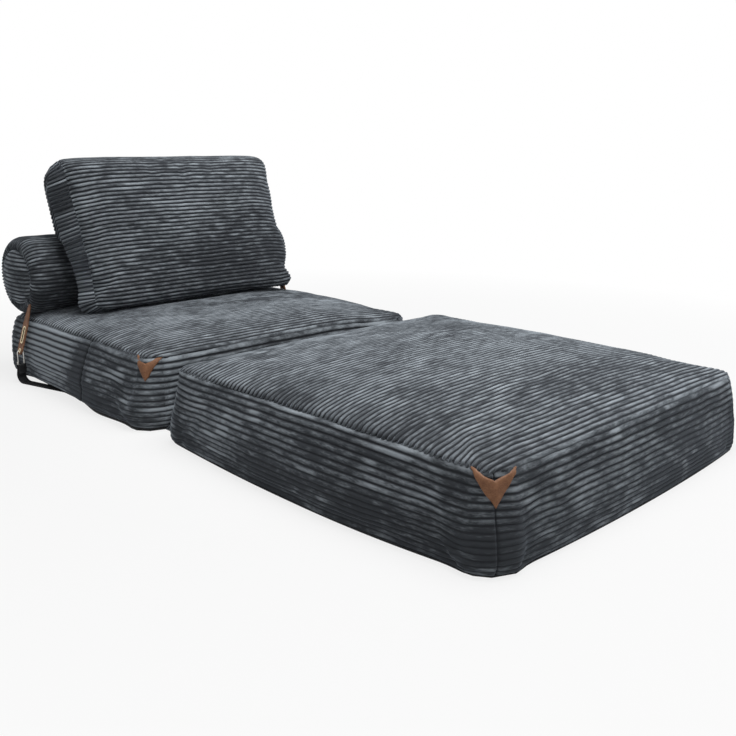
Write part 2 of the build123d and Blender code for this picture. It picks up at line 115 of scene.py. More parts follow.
# How far a side band is pushed out, at these shares of its height from the floor up
BAND_HEIGHTS = (0, 0.05, 0.16, 0.36, 0.62, 0.85, 1)
BAND_SWELL = (0.05, 0.62, 0.95, 1.0, 0.72, 0.32, 0)
BAND_BOW = (0.85, 0.95, 1.0, 0.92, 0.55, 0.2, 0)
FOLD_REACH = (0.75, 1.0, 1.0, 0.95, 0.6, 0.25, 0)
CORNER_KICK = (1.0, 0.95, 0.8, 0.52, 0.24, 0.06, 0)
WEBBING_TUCK = (1.0, 0.85, 0.5, 0.15, 0, 0, 0)
FRONT_SWELL = (1.0, 1.0, 0.95, 0.75, 0.4, 0.1, 0)
REAR_BULGE = (0, 0.2, 0.5, 0.85, 1.0, 0.75, 0)
# How far the webbing lifts the seat's lower edge
WEBBING_LIFT = 0.012
# Height of one row of a side band's points
BAND_ROW = 0.0136
# How far the solid band swells out all round, without its bow
SOLID_SWELL = 0.010

# How round the top of a block is, and the share of its half width over which it rises
CROWN_CURVE = 0.62
CROWN_RUN = 0.9
# Share of the stuffing's rise that the top of a block keeps
TOP_FILL = 0.25
# Share by which seams shorten as a cover is stuffed
SEAM_SHRINK = 0.0
# Height up to which the stuffing leaves the foot of a cover where it is
HELD_HEIGHT = 0.012
# Height of the undersides above the floor
FLOOR_GAP = 0.0006
# The way that the zips of the two blocks face
BLOCK_ZIP_WAY = (0, 1, 0)
# The way that the roll's zip faces, low on its back
ROLL_ZIP_WAY = (0, cos(radians(25)), -sin(radians(25)))


def length(name, default, description):
    """A size in metres that a user may change."""
    return FloatProperty(name=name, default=default, description=description, unit="LENGTH")


def number(name, default, description):
    """A plain number that a user may change."""
    return FloatProperty(name=name, default=default, description=description)


def colour(name, default, description):
    """A colour that a user may change."""
    return FloatVectorProperty(
        name=name, default=default, description=description, subtype="COLOR", size=3, min=0, max=1
    )


class CorduroySizes(bpy.types.PropertyGroup):
    """Sizes of the ribbed cloth and its seams."""

    pitch: length("Rib pitch", 0.0122, "Distance from one rib to the next")
    top_pitch: length("Top rib pitch", 0.0138, "Distance from one rib to the next on top of a block")
    band_pitch: length("Band rib pitch", 0.0127, "Mean distance from one rib to the next on a side band")
    squeeze: number("Squeeze", 0.22, "How much wider a side band's ribs are at the seam than on average")
    height: length("Rib height", 0.0047, "Height of a rib above its valleys")
    wander: length("Rib wander", 0.0012, "How far a rib strays from a straight line")
    step: length("Step along ribs", 0.0125, "Length of a mesh face along a rib")
    seam_depth: length("Seam depth", 0.006, "How far a sewn edge draws into its seam")
    seam_reach: length("Seam reach", 0.007, "How far from a seam the cloth starts to draw in")
    ripple: length("Ripple", 0.0035, "Height of the slow unevenness of a stuffed cover")


class BlockSizes(bpy.types.PropertyGroup):
    """Sizes of the two foam blocks that their boxes do not give."""

    corner: length("Corner radius", 0.048, "Radius of a corner at the top seam")
    seam_bow: length("Seam bow", 0.008, "How far the side seam bows out at mid length")
    front_bow: length("Front bow", 0.008, "How far the foot end bows out at mid width")
    end_bow: length("End bow", 0.004, "How far the other ends bow out at mid width")
    front_swell: length("Front swell", 0.016, "How far the foot end swells out at mid width near the floor")
    rear_bulge: length("Rear bulge", 0.018, "How far the seat's near rear corner bulges out below its seam")
    tuck: length("Tuck", 0.033, "How far the webbing draws in the seat's lower edge")
    swell: length("Swell", 0.018, "How far the band swells out beyond its seam")
    kick: length("Kick", 0.040, "How far the lower corners stick out beyond the upper ones")
    dip: length("Dip", 0.020, "How far the seat sags on its far side")
    lift: length("Lift", 0.004, "Height of the cover's lower edge above the floor")
    roll_edge: length("Roll edge", 0.040, "Radius of the rounded ends of the roll")
    grid: length("Grid", 0.018, "Spacing of the points that the stuffing pushes out")


class PillowSizes(bpy.types.PropertyGroup):
    """Sizes of the back pillow along its own lean."""

    width: length("Width", 0.765, "Width between the side seams")
    height: length("Height", 0.452, "Height between the lower and upper seams")
    gusset: length("Gusset", 0.080, "Depth of the boxing between the two faces")
    swell: length("Swell", 0.006, "How far the boxing swells out between its seams")
    front_lift: length("Front lift", 0.014, "How far the front seam stands out from the boxing's solid")
    top_roll: length("Top roll", 0.060, "Height over which the front face rolls back to the upper seam")
    roll_back: length("Roll back", 0.075, "How far behind the front the upper seam lies")
    back_swell: length("Back swell", 0.050, "How far the pillow swells out behind above the roll")
    front_crown: length("Front crown", 0.034, "How far the front face swells out")
    rear_crown: length("Rear crown", 0.013, "How far the rear face swells out")
    corner: length("Corner radius", 0.042, "Radius of a corner between the seams")
    spare: length("Spare height", 0.031, "Cloth that lets the cover fill out above the seam")
    flare: length("Flare", 0.004, "How much wider each side is at the top than at the foot")
    rear_swell: length("Rear swell", 0.022, "How far the boxing bulges out behind the front seam")
    lean: FloatProperty(
        name="Lean", default=radians(20), description="Lean back from upright", subtype="ANGLE"
    )
    sink: length("Sink", 0.011, "How far the lower seam lies below the top of the seat")
    rest_gap: length("Rest gap", 0.0004, "Room between the pillow and what it leans on")


class PatchSizes(bpy.types.PropertyGroup):
    """Sizes of the leather corner patches."""

    reach: length("Reach", 0.056, "Length along the seam to each side of the corner")
    drop: length("Drop", 0.066, "Height of the triangle below the seam")
    dip: length("Dip", 0.019, "How far the middle of the upper edge hangs down")
    thickness: length("Thickness", 0.0022, "Thickness of the leather")


class WebbingSizes(bpy.types.PropertyGroup):
    """Sizes of the webbing below the bolster straps."""

    width: length("Width", 0.032, "Width of the webbing")
    thickness: length("Thickness", 0.0024, "Thickness of the webbing")


class LoungerColours(bpy.types.PropertyGroup):
    """Colours of the finishes."""

    # Rib colour: the brushed-up nap's colour, set bright enough to be partly a painted highlight on the rib
    # tops
    crest: colour("Rib", (0.268, 0.299, 0.327), "Corduroy on top of a rib, nap brushed up")
    # Nap colour: brushed-down nap, and also what the painted shade on the side bands, the roll and the
    # pillow darkens towards
    nap: colour("Nap", (0.034, 0.038, 0.043), "Corduroy where the nap is brushed down")
    # Valley shade: painted shade in the valleys and on the flanks of the ribs
    valley_shade: colour("Valley shade", (0.024, 0.026, 0.030), "Corduroy between two ribs")
    leather: colour("Leather", (0.250, 0.112, 0.052), "Tan leather")
    leather_dark: colour("Leather shade", (0.100, 0.042, 0.019), "Tan leather in its creases")
    webbing: colour("Webbing", (0.026, 0.027, 0.029), "Black webbing")
    base_cloth: colour("Base cloth", (0.020, 0.021, 0.023), "Cloth under the blocks")
    gold: colour("Pale gold", (0.78, 0.64, 0.42), "Metal of the rims")
    steel: colour("Steel", (0.62, 0.61, 0.58), "Metal of the snap hooks")
    gunmetal: colour("Gunmetal", (0.10, 0.10, 0.11), "Metal of the zip sliders")
    floor: colour("Floor", (0.60, 0.60, 0.60), "Studio floor")


class StudioSettings(bpy.types.PropertyGroup):
    """Camera and light."""

    camera: FloatVectorProperty(
        name="Camera", default=(-1.732, -1.830, 0.772), description="Camera position", subtype="XYZ"
    )
    yaw: FloatProperty(name="Yaw", default=radians(46.0), description="Camera heading", subtype="ANGLE")
    pitch: FloatProperty(name="Pitch", default=radians(14.8), description="Camera dip", subtype="ANGLE")
    roll: FloatProperty(name="Roll", default=radians(0.98), description="Camera roll", subtype="ANGLE")
    lens: number("Lens", 44.5, "Focal length in millimetres")
    sky: number("Sky", 0.33, "Strength of the even light from all round")
    key: number("Key", 108.0, "Power of the soft lamp overhead, in watts")
    fill: number("Fill", 6.0, "Power of the soft lamp beside the camera, in watts")


# Points, splines and noise


# Cells to a side after which the noise repeats
NOISE_CELLS = 64


def value_noise(x, y, seed):
    """Smooth noise from -1 to 1 over a plane, the same for the same seed."""
    table = np.random.default_rng(seed).random((NOISE_CELLS, NOISE_CELLS)) * 2 - 1
    x0 = np.floor(x).astype(int)
    y0 = np.floor(y).astype(int)
    fx = x - x0
    fy = y - y0
    fx = fx * fx * (3 - 2 * fx)
    fy = fy * fy * (3 - 2 * fy)
    x1 = (x0 + 1) % NOISE_CELLS
    y1 = (y0 + 1) % NOISE_CELLS
    x0 = x0 % NOISE_CELLS
    y0 = y0 % NOISE_CELLS
    low = table[x0, y0] * (1 - fx) + table[x1, y0] * fx
    high = table[x0, y1] * (1 - fx) + table[x1, y1] * fx
    return low * (1 - fy) + high * fy


def smooth_step(value, low, high):
    """A smooth ramp from 0 at low to 1 at high, whichever is larger."""
    share = np.clip((value - low) / (high - low), 0, 1)
    return share * share * (3 - 2 * share)


def spline_weights(places, count, closed=False):
    """Weights that read a row of count points at fractional places along a smooth curve."""
    places = np.asarray(places, float)
    base = np.floor(places).astype(int)
    if not closed:
        base = np.clip(base, 0, count - 2)
    f = places - base
    shares = (
        (-f + 2 * f**2 - f**3) / 2,
        (2 - 5 * f**2 + 3 * f**3) / 2,
        (f + 4 * f**2 - 3 * f**3) / 2,
        (-(f**2) + f**3) / 2,
    )
    weights = np.zeros((len(places), count))
    line = np.arange(len(places))
    for offset, share in zip((-1, 0, 1, 2), shares):
        index = base + offset
        if closed:
            np.add.at(weights, (line, index % count), share)
            continue
        inside = np.clip(index, 0, count - 1)
        beyond = index - inside
        step_back = np.clip(inside - np.sign(beyond), 0, count - 1)
        out = np.abs(beyond)
        np.add.at(weights, (line, inside), share * (1 + out))
        np.add.at(weights, (line, step_back), -share * out)
    return weights


def read_grid(grid, rows, columns, closed=False):
    """Points of a smooth surface through a grid, at fractional rows and columns."""
    across = spline_weights(rows, grid.shape[0])
    along = spline_weights(columns, grid.shape[1], closed)
    return np.einsum("ij,jkc,lk->ilc", across, grid, along, optimize=True)


def read_points(grid, rows, columns, closed=False):
    """Points of a smooth surface through a grid, one for each pair of row and column."""
    across = spline_weights(rows, grid.shape[0])
    along = spline_weights(columns, grid.shape[1], closed)
    return np.einsum("nj,jkc,nk->nc", across, grid, along, optimize=True)


def run_lengths(points, closed=False):
    """Distance travelled along a row of points, back to the start if it is closed."""
    if closed:
        points = np.vstack([points, points[:1]])
    steps = np.linalg.norm(np.diff(points, axis=0), axis=1)
    return np.concatenate([[0], np.cumsum(steps)])


def unit(vectors):
    """Vectors of length one."""
    size = np.linalg.norm(vectors, axis=-1, keepdims=True)
    return vectors / np.maximum(size, 1e-12)


def grid_normals(points, closed=False):
    """Unit normals of a grid of points; rows crossed with columns point outwards."""
    down = np.gradient(points, axis=0)
    if closed:
        along = np.roll(points, -1, axis=1) - np.roll(points, 1, axis=1)
    else:
        along = np.gradient(points, axis=1)
    return unit(np.cross(along, down))


def rim(rows, columns):
    """Row and column of each point round the edge of a grid, in order."""
    first = [(0, c) for c in range(columns)]
    right = [(r, columns - 1) for r in range(1, rows)]
    last = [(rows - 1, c) for c in range(columns - 2, -1, -1)]
    left = [(r, 0) for r in range(rows - 2, 0, -1)]
    return tuple(np.array(first + right + last + left).T)


# Stuffed covers: two faces and the band sewn between them


class Cover:
    """A stuffed cover as grids of points, with the edges of its faces shared by its band."""

    def __init__(self, front, band, back):
        self.front = front
        self.band = band
        self.back = back
        self.edge = rim(*front.shape[:2])

    def quads(self):
        """All the points of the cover once, and the quads that close it."""
        rows, columns = self.front.shape[:2]
        levels, around = self.band.shape[:2]
        count = rows * columns
        front = np.arange(count).reshape(rows, columns)
        middle = count + np.arange((levels - 2) * around).reshape(levels - 2, around)
        back = count + middle.size + np.arange(count).reshape(rows, columns)
        band = np.vstack([front[self.edge], middle, back[self.edge]])
        points = np.vstack(
            [self.front.reshape(-1, 3), self.band[1:-1].reshape(-1, 3), self.back.reshape(-1, 3)]
        )
        faces = np.vstack([grid_quads(front), grid_quads(band, True, True), grid_quads(back, False, True)])
        return points, faces, (front, band, back)

    def take(self, points, indices):
        """Set the grids from points in the order that quads gave."""
        self.front, self.band, self.back = (points[i] for i in indices)


def grid_quads(index, closed=False, flipped=False):
    """Quads between neighbours in a grid of point numbers."""
    if closed:
        index = np.hstack([index, index[:, :1]])
    corners = [index[:-1, :-1], index[:-1, 1:], index[1:, 1:], index[1:, :-1]]
    if flipped:
        corners.reverse()
    return np.stack([c.ravel() for c in corners], axis=1)


def stuff(cover, held, pressure, reach, frames):
    """Push a cover out from inside as cloth, with some points held and none moved farther than reach."""
    points, faces, indices = cover.quads()
    mesh = bpy.data.meshes.new("stuffing")
    mesh.from_pydata(points.tolist(), [], faces.tolist())
    form = bpy.data.objects.new("stuffing", mesh)
    scene = bpy.context.scene
    scene.collection.objects.link(form)
    edges = np.concatenate([indices[1][0], indices[1][-1]])
    for name, chosen in (("held", np.flatnonzero(held(points))), ("seams", edges)):
        group = form.vertex_groups.new(name=name)
        group.add(chosen.tolist(), 1.0, "REPLACE")
    cloth = form.modifiers.new("Cloth", "CLOTH")
    fabric = cloth.settings
    fabric.quality = 5
    fabric.mass = 0.35
    fabric.tension_stiffness = 20
    fabric.compression_stiffness = 20
    fabric.shear_stiffness = 6
    fabric.bending_stiffness = 1.5
    fabric.vertex_group_mass = "held"
    fabric.vertex_group_shrink = "seams"
    fabric.shrink_min = 0.0
    fabric.shrink_max = SEAM_SHRINK
    fabric.use_pressure = True
    fabric.uniform_pressure_force = pressure
    fabric.effector_weights.gravity = 0
    cloth.collision_settings.use_collision = False
    cloth.point_cache.frame_start = 1
    cloth.point_cache.frame_end = frames
    for step in range(1, frames + 1):
        scene.frame_set(step)
    shaped = form.evaluated_get(bpy.context.evaluated_depsgraph_get())
    found = np.empty(len(points) * 3, np.float32)
    shaped.data.vertices.foreach_get("co", found)
    moves = found.reshape(-1, 3).astype(float) - points
    size = np.linalg.norm(moves, axis=1, keepdims=True)
    moves *= np.minimum(1, reach / np.maximum(size, 1e-9))
    cover.take(keep_size(points, points + moves), indices)
    bpy.data.objects.remove(form)
    bpy.data.meshes.remove(mesh)
    scene.frame_set(1)


def keep_size(before, after):
    """Stretch stuffed points so that their box is no smaller than it was before."""
    middle = (before.min(axis=0) + before.max(axis=0)) / 2
    was = np.ptp(before, axis=0)
    now = np.ptp(after, axis=0)
    shift = (after.min(axis=0) + after.max(axis=0)) / 2 - middle
    shift[2] = after[:, 2].min() - before[:, 2].min()
    grow = np.maximum(was / now, 1)
    pivot = middle.copy()
    pivot[2] = before[:, 2].min()
    return pivot + (after - shift - pivot) * grow


def rib_profile(share):
    """Height of a rib across its width, a rounded cord between two narrow valleys."""
    return (1 - np.abs(2 * share - 1) ** 2) ** 0.8


def rib_places(total, pitch, squeeze):
    """Places across a panel at which its ribs are drawn, the rib height there, and the ribs so far."""
    count = max(1, round(total / pitch))
    phase = np.concatenate([(np.arange(count)[:, None] + RIB_STEPS).ravel(), [count]])
    share = phase / count
    return total * share * (1 + squeeze * (1 - share)), rib_profile(phase % 1), phase


class Panel:
    """A panel of corduroy over one grid of a cover: its points, rib heights and cloth places."""

    def __init__(
        self,
        cord,
        grid,
        ribs_along,
        closed=False,
        flipped=False,
        seed=0,
        extra=(),
        pitch=0,
        squeeze=0,
        patchy=1,
    ):
        """ribs_along tells whether the ribs run along the grid's rows or across them."""
        self.closed = closed
        self.flipped = flipped
        rows, columns = grid.shape[:2]
        down = run_lengths(grid[:, columns // 2])
        along = run_lengths(grid[rows // 2], closed)
        pitch = pitch or cord.pitch
        if ribs_along:
            down_at, crest, phase = rib_places(down[-1], pitch, squeeze)
            along_at = self.steps(along[-1], cord.step, extra)
        else:
            along_at, crest, phase = rib_places(along[-1], pitch, squeeze)
            down_at = self.steps(down[-1], cord.step, ())
        if closed:
            along_at = along_at[:-1]
            if not ribs_along:
                crest = crest[:-1]
                phase = phase[:-1]
        self.rows = np.interp(down_at, down, np.arange(len(down)))
        self.columns = np.interp(along_at, along, np.arange(len(along)))
        self.down, self.along = np.meshgrid(down_at, along_at, indexing="ij")
        self.span = (down[-1], along[-1])
        self.base = read_grid(grid, self.rows, self.columns, closed)
        way = -1 if flipped else 1
        self.normal = way * grid_normals(self.base, closed)
        if ribs_along:
            spread = (slice(None), None)
            places = (self.along, self.down)
        else:
            spread = (None, slice(None))
            places = (self.down, self.along)
        self.rib = np.broadcast_to(crest[spread], self.down.shape)
        self.number = np.floor(np.broadcast_to(phase[spread], self.down.shape))
        self.flat = np.stack(places, axis=2)
        self.sink = np.zeros(self.down.shape)
        self.crumple(cord, 0 if ribs_along else 1, seed)
        self.brush(patchy, seed)

    def lumps(self, along, across, seed):
        """Noise over the cloth, in lumps of a length along the ribs and a width across them."""
        return value_noise(self.flat[..., 0] / along, self.flat[..., 1] / across, seed)

    def rib_lumps(self, along, step, start, seed):
        """Noise along each rib by itself, in lumps of a length."""
        return value_noise(self.flat[..., 0] / along, self.number * step + start, seed)

    def crumple(self, cord, across_axis, seed):
        """Vary the height of the ribs, let them wander and let the stuffing swell."""
        uneven = self.rib_lumps(*UNEVEN, seed + 1)
        crushed = self.lumps(*CRUSHED, seed + 2)
        self.amount = cord.height * (1 + UNEVEN_SHARE * uneven + CRUSHED_SHARE * crushed)
        sway = self.lumps(*SWAY, seed + 3)
        sway += 0.5 * self.rib_lumps(*STRAY, seed + 4)
        across = unit(np.gradient(self.base, axis=across_axis))
        self.base = self.base + across * (cord.wander * sway)[..., None]
        swells = value_noise(self.down / SWELLS[0], self.along / SWELLS[1], seed + 5)
        swells += 0.5 * value_noise(self.down / SMALL_SWELLS[0], self.along / SMALL_SWELLS[1], seed + 6)
        self.sink -= cord.ripple * 0.5 * swells

    def brush(self, patchy, seed):
        """Brush the nap up and down in streaks, clouds and frosted places."""
        clouds = self.lumps(*CLOUDS, seed + 7)
        clouds += 0.7 * self.lumps(*SMALL_CLOUDS, seed + 8)
        streaks = self.rib_lumps(*STREAKS, seed + 9)
        frost = smooth_step(self.rib_lumps(*FROST, seed + 10), 0.1, 0.8)
        frost *= smooth_step(self.lumps(*FROSTED, seed + 11), -0.3, 0.5)
        patches = NAP_CLOUDS * clouds + NAP_FROST * frost - NAP_PATCH_MEAN
        self.nap = NAP_MEAN + NAP_STREAKS * streaks + patchy * patches

    @staticmethod
    def steps(total, size, extra):
        """Even places along a run, with some more close to the places in extra."""
        places = np.linspace(0, total, max(2, ceil(total / size) + 1))
        close = [p + d for p in extra for d in SEAM_STEPS]
        close = [p for p in close if 0 < p < total]
        kept = [p for p in places if all(abs(p - c) > SEAM_ROOM for c in close) or p in (0, total)]
        return np.array(sorted(kept + close))

    def draw_in(self, distance, cord, depth=1.0, reach=1.0):
        """Draw the panel into a seam, by the distance of each point from it."""
        near = np.exp(-((distance / (cord.seam_reach * reach)) ** 2))
        self.sink += cord.seam_depth * depth * near

    def fade_ribs(self, keep):
        """Flatten the ribs where keep is under one."""
        self.amount = self.amount * keep
        self.rib = 1 - (1 - self.rib) * keep

    def points(self):
        """Where the ribbed surface is."""
        out = self.amount * (self.rib - RIB_SUNK) - self.sink
        return self.base + self.normal * out[..., None]


class Shell:
    """A mesh put together from panels and the strips that join them."""

    def __init__(self):
        self.points = []
        self.faces = []
        self.kinds = []
        self.data = []
        self.count = 0

    def add(self, points, faces, kind=0, rib=None, nap=None, flat=None):
        """Add points with their faces, numbered from 0; returns the number of the first point."""
        start = self.count
        points = np.asarray(points, float).reshape(-1, 3)
        size = len(points)
        self.points.append(points)
        self.faces += (np.asarray(faces) + start).tolist()
        self.kinds += [kind] * len(faces)
        rib = np.ones(size) if rib is None else np.asarray(rib).ravel()
        nap = np.full(size, 0.5) if nap is None else np.asarray(nap).ravel()
        flat = np.zeros((size, 2)) if flat is None else np.asarray(flat).reshape(-1, 2)
        self.data.append(np.column_stack([rib, nap, flat]))
        self.count += size
        return start

    def add_panel(self, panel):
        """Add a panel; returns the numbers of its points as a grid."""
        points = panel.points()
        index = np.arange(points.shape[0] * points.shape[1]).reshape(points.shape[:2])
        faces = grid_quads(index, panel.closed, panel.flipped)
        start = self.add(points, faces, 0, panel.rib, panel.nap, panel.flat)
        return index + start

    def add_slab(self, upper, lower, flat, flipped=False, rib=None, nap=None):
        """Add two grids that face away from each other and the wall round their edges."""
        rows, columns = upper.shape[:2]
        index = np.arange(rows * columns).reshape(rows, columns)
        top = index + self.add(upper, grid_quads(index, False, flipped), 0, rib, nap, flat)
        bottom = index + self.add(lower, grid_quads(index, False, not flipped), flat=flat)
        edge = rim(rows, columns)
        ring = np.stack([top[edge], bottom[edge]])
        self.faces += grid_quads(ring, True, not flipped).tolist()
        self.kinds += [0] * ring.shape[1]

    def zip_loops(self, first, first_at, second, second_at):
        """Close the gap between two loops of points by their places, from 0 to 1, round the loop."""
        a = list(zip(first_at, first)) + [(first_at[0] + 1, first[0])]
        b = list(zip(second_at, second)) + [(second_at[0] + 1, second[0])]
        i = j = 0
        while i < len(a) - 1 or j < len(b) - 1:
            if j == len(b) - 1 or (i < len(a) - 1 and a[i + 1][0] <= b[j + 1][0]):
                face = [int(a[i][1]), int(b[j][1]), int(a[i + 1][1])]
                i += 1
            else:
                face = [int(a[i][1]), int(b[j][1]), int(b[j + 1][1])]
                j += 1
            self.faces.append(face)
            self.kinds.append(0)

    def build(self, name, materials):
        """Make the object, with its rib height, nap and cloth places for the materials."""
        mesh = bpy.data.meshes.new(name)
        points = np.vstack(self.points)
        mesh.from_pydata(points.tolist(), [], self.faces)
        data = np.vstack(self.data)
        for label, values in (("rib", data[:, 0]), ("nap", data[:, 1])):
            made = mesh.attributes.new(label, "FLOAT", "POINT")
            made.data.foreach_set("value", values.astype(np.float32))
        corners = np.empty(len(mesh.loops), np.int32)
        mesh.loops.foreach_get("vertex_index", corners)
        cloth = mesh.uv_layers.new(name="Cloth")
        cloth.uv.foreach_set("vector", data[corners, 2:4].astype(np.float32).ravel())
        mesh.polygons.foreach_set("material_index", np.array(self.kinds, np.int32))
        mesh.polygons.foreach_set("use_smooth", np.ones(len(mesh.polygons), bool))
        for material in materials:
            mesh.materials.append(material)
        mesh.update()
        made = bpy.data.objects.new(name, mesh)
        bpy.context.scene.collection.objects.link(made)
        return made


def edge_places(panel, rows, columns):
    """Points round the edge of a face panel and their places, from 0 to 1, round the coarse rim."""
    high, wide = panel.rib.shape
    r, c = rim(high, wide)
    around = 2 * (rows + columns) - 4
    place = np.where(
        r == 0,
        panel.columns[c],
        np.where(
            (c == wide - 1),
            columns - 1 + panel.rows[r],
            np.where(
                r == high - 1,
                columns - 1 + rows - 1 + (columns - 1 - panel.columns[c]),
                2 * (columns - 1) + rows - 1 + (rows - 1 - panel.rows[r]),
            ),
        ),
    )
    return r, c, place / around


def sew(shell, cover, face, face_index, band, band_index, last):
    """Join the edge of a face panel to the first or last row of the band panel."""
    rows, columns = cover.front.shape[:2]
    around = cover.band.shape[1]
    r, c, places = edge_places(face, rows, columns)
    loop = face_index[r, c]
    band_loop = band_index[-1 if last else 0]
    band_places = band.columns / around
    if last:
        shell.zip_loops(band_loop, band_places, loop, places)
    else:
        shell.zip_loops(loop, places, band_loop, band_places)


def sew_cover(cover, front, band, back):
    """A shell of a cover's three panels, sewn together."""
    shell = Shell()
    front_index = shell.add_panel(front)
    band_index = shell.add_panel(band)
    back_index = shell.add_panel(back)
    sew(shell, cover, front, front_index, band, band_index, False)
    sew(shell, cover, back, back_index, band, band_index, True)
    return shell


def face_distance(panel):
    """Distance of each point of a face panel from the nearest edge of the face."""
    down = np.minimum(panel.down, panel.span[0] - panel.down)
    share = panel.columns / panel.columns[-1]
    wide = np.linalg.norm(panel.base[:, -1] - panel.base[:, 0], axis=1)
    side = np.minimum(share, 1 - share)[None, :] * wide[:, None]
    return np.minimum(down, side)


def nap_and_shade_blotch(panel, centre, size, strength):
    """Brush the nap of a panel up or down round a place; on the roll and the pillow it is also painted shade
    and light.
    """
    off = (panel.base - np.array(centre)) / np.array(size)
    panel.nap = panel.nap + strength * np.exp(-(off**2).sum(axis=2))


class ZipBed:
    """The flat place on a cover in which a zip lies."""

    def __init__(self, node, normal):
        low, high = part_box(node)
        self.centre = np.array((low + high) / 2)
        self.normal = np.array(normal)
        self.up = np.cross((1, 0, 0), self.normal)
        self.half = (high.x - low.x) / 2

    def near(self, points, depth, ends, sides, reach):
        """How much each point belongs to the bed, from 0 to 1, and its height over the bed."""
        off = points - self.centre
        high = off @ self.normal + depth
        beside = smooth_step(np.abs(off[..., 0]), self.half + ends[0], self.half + ends[1])
        across = smooth_step(np.abs(off @ self.up), *sides)
        return beside * across * (np.abs(high) < reach), high

    def flatten(self, cover):
        """Press a cover flat under the zip."""
        for grid in (cover.front, cover.band, cover.back):
            share, high = self.near(grid, ZIP_DEPTH, *PRESSED)
            grid -= self.normal * (share * high)[..., None]

    def clear(self, panel):
        """Take the ribs off under the tape."""
        share, _ = self.near(panel.base, 0, *TAPED)
        panel.fade_ribs(1 - share)
        panel.sink *= 1 - share


# Foam blocks


def soften(values, times):
    """Values round a loop, each blended with its neighbours."""
    for _ in range(times):
        values = 0.5 * values + 0.25 * (np.roll(values, 1) + np.roll(values, -1))
    return values


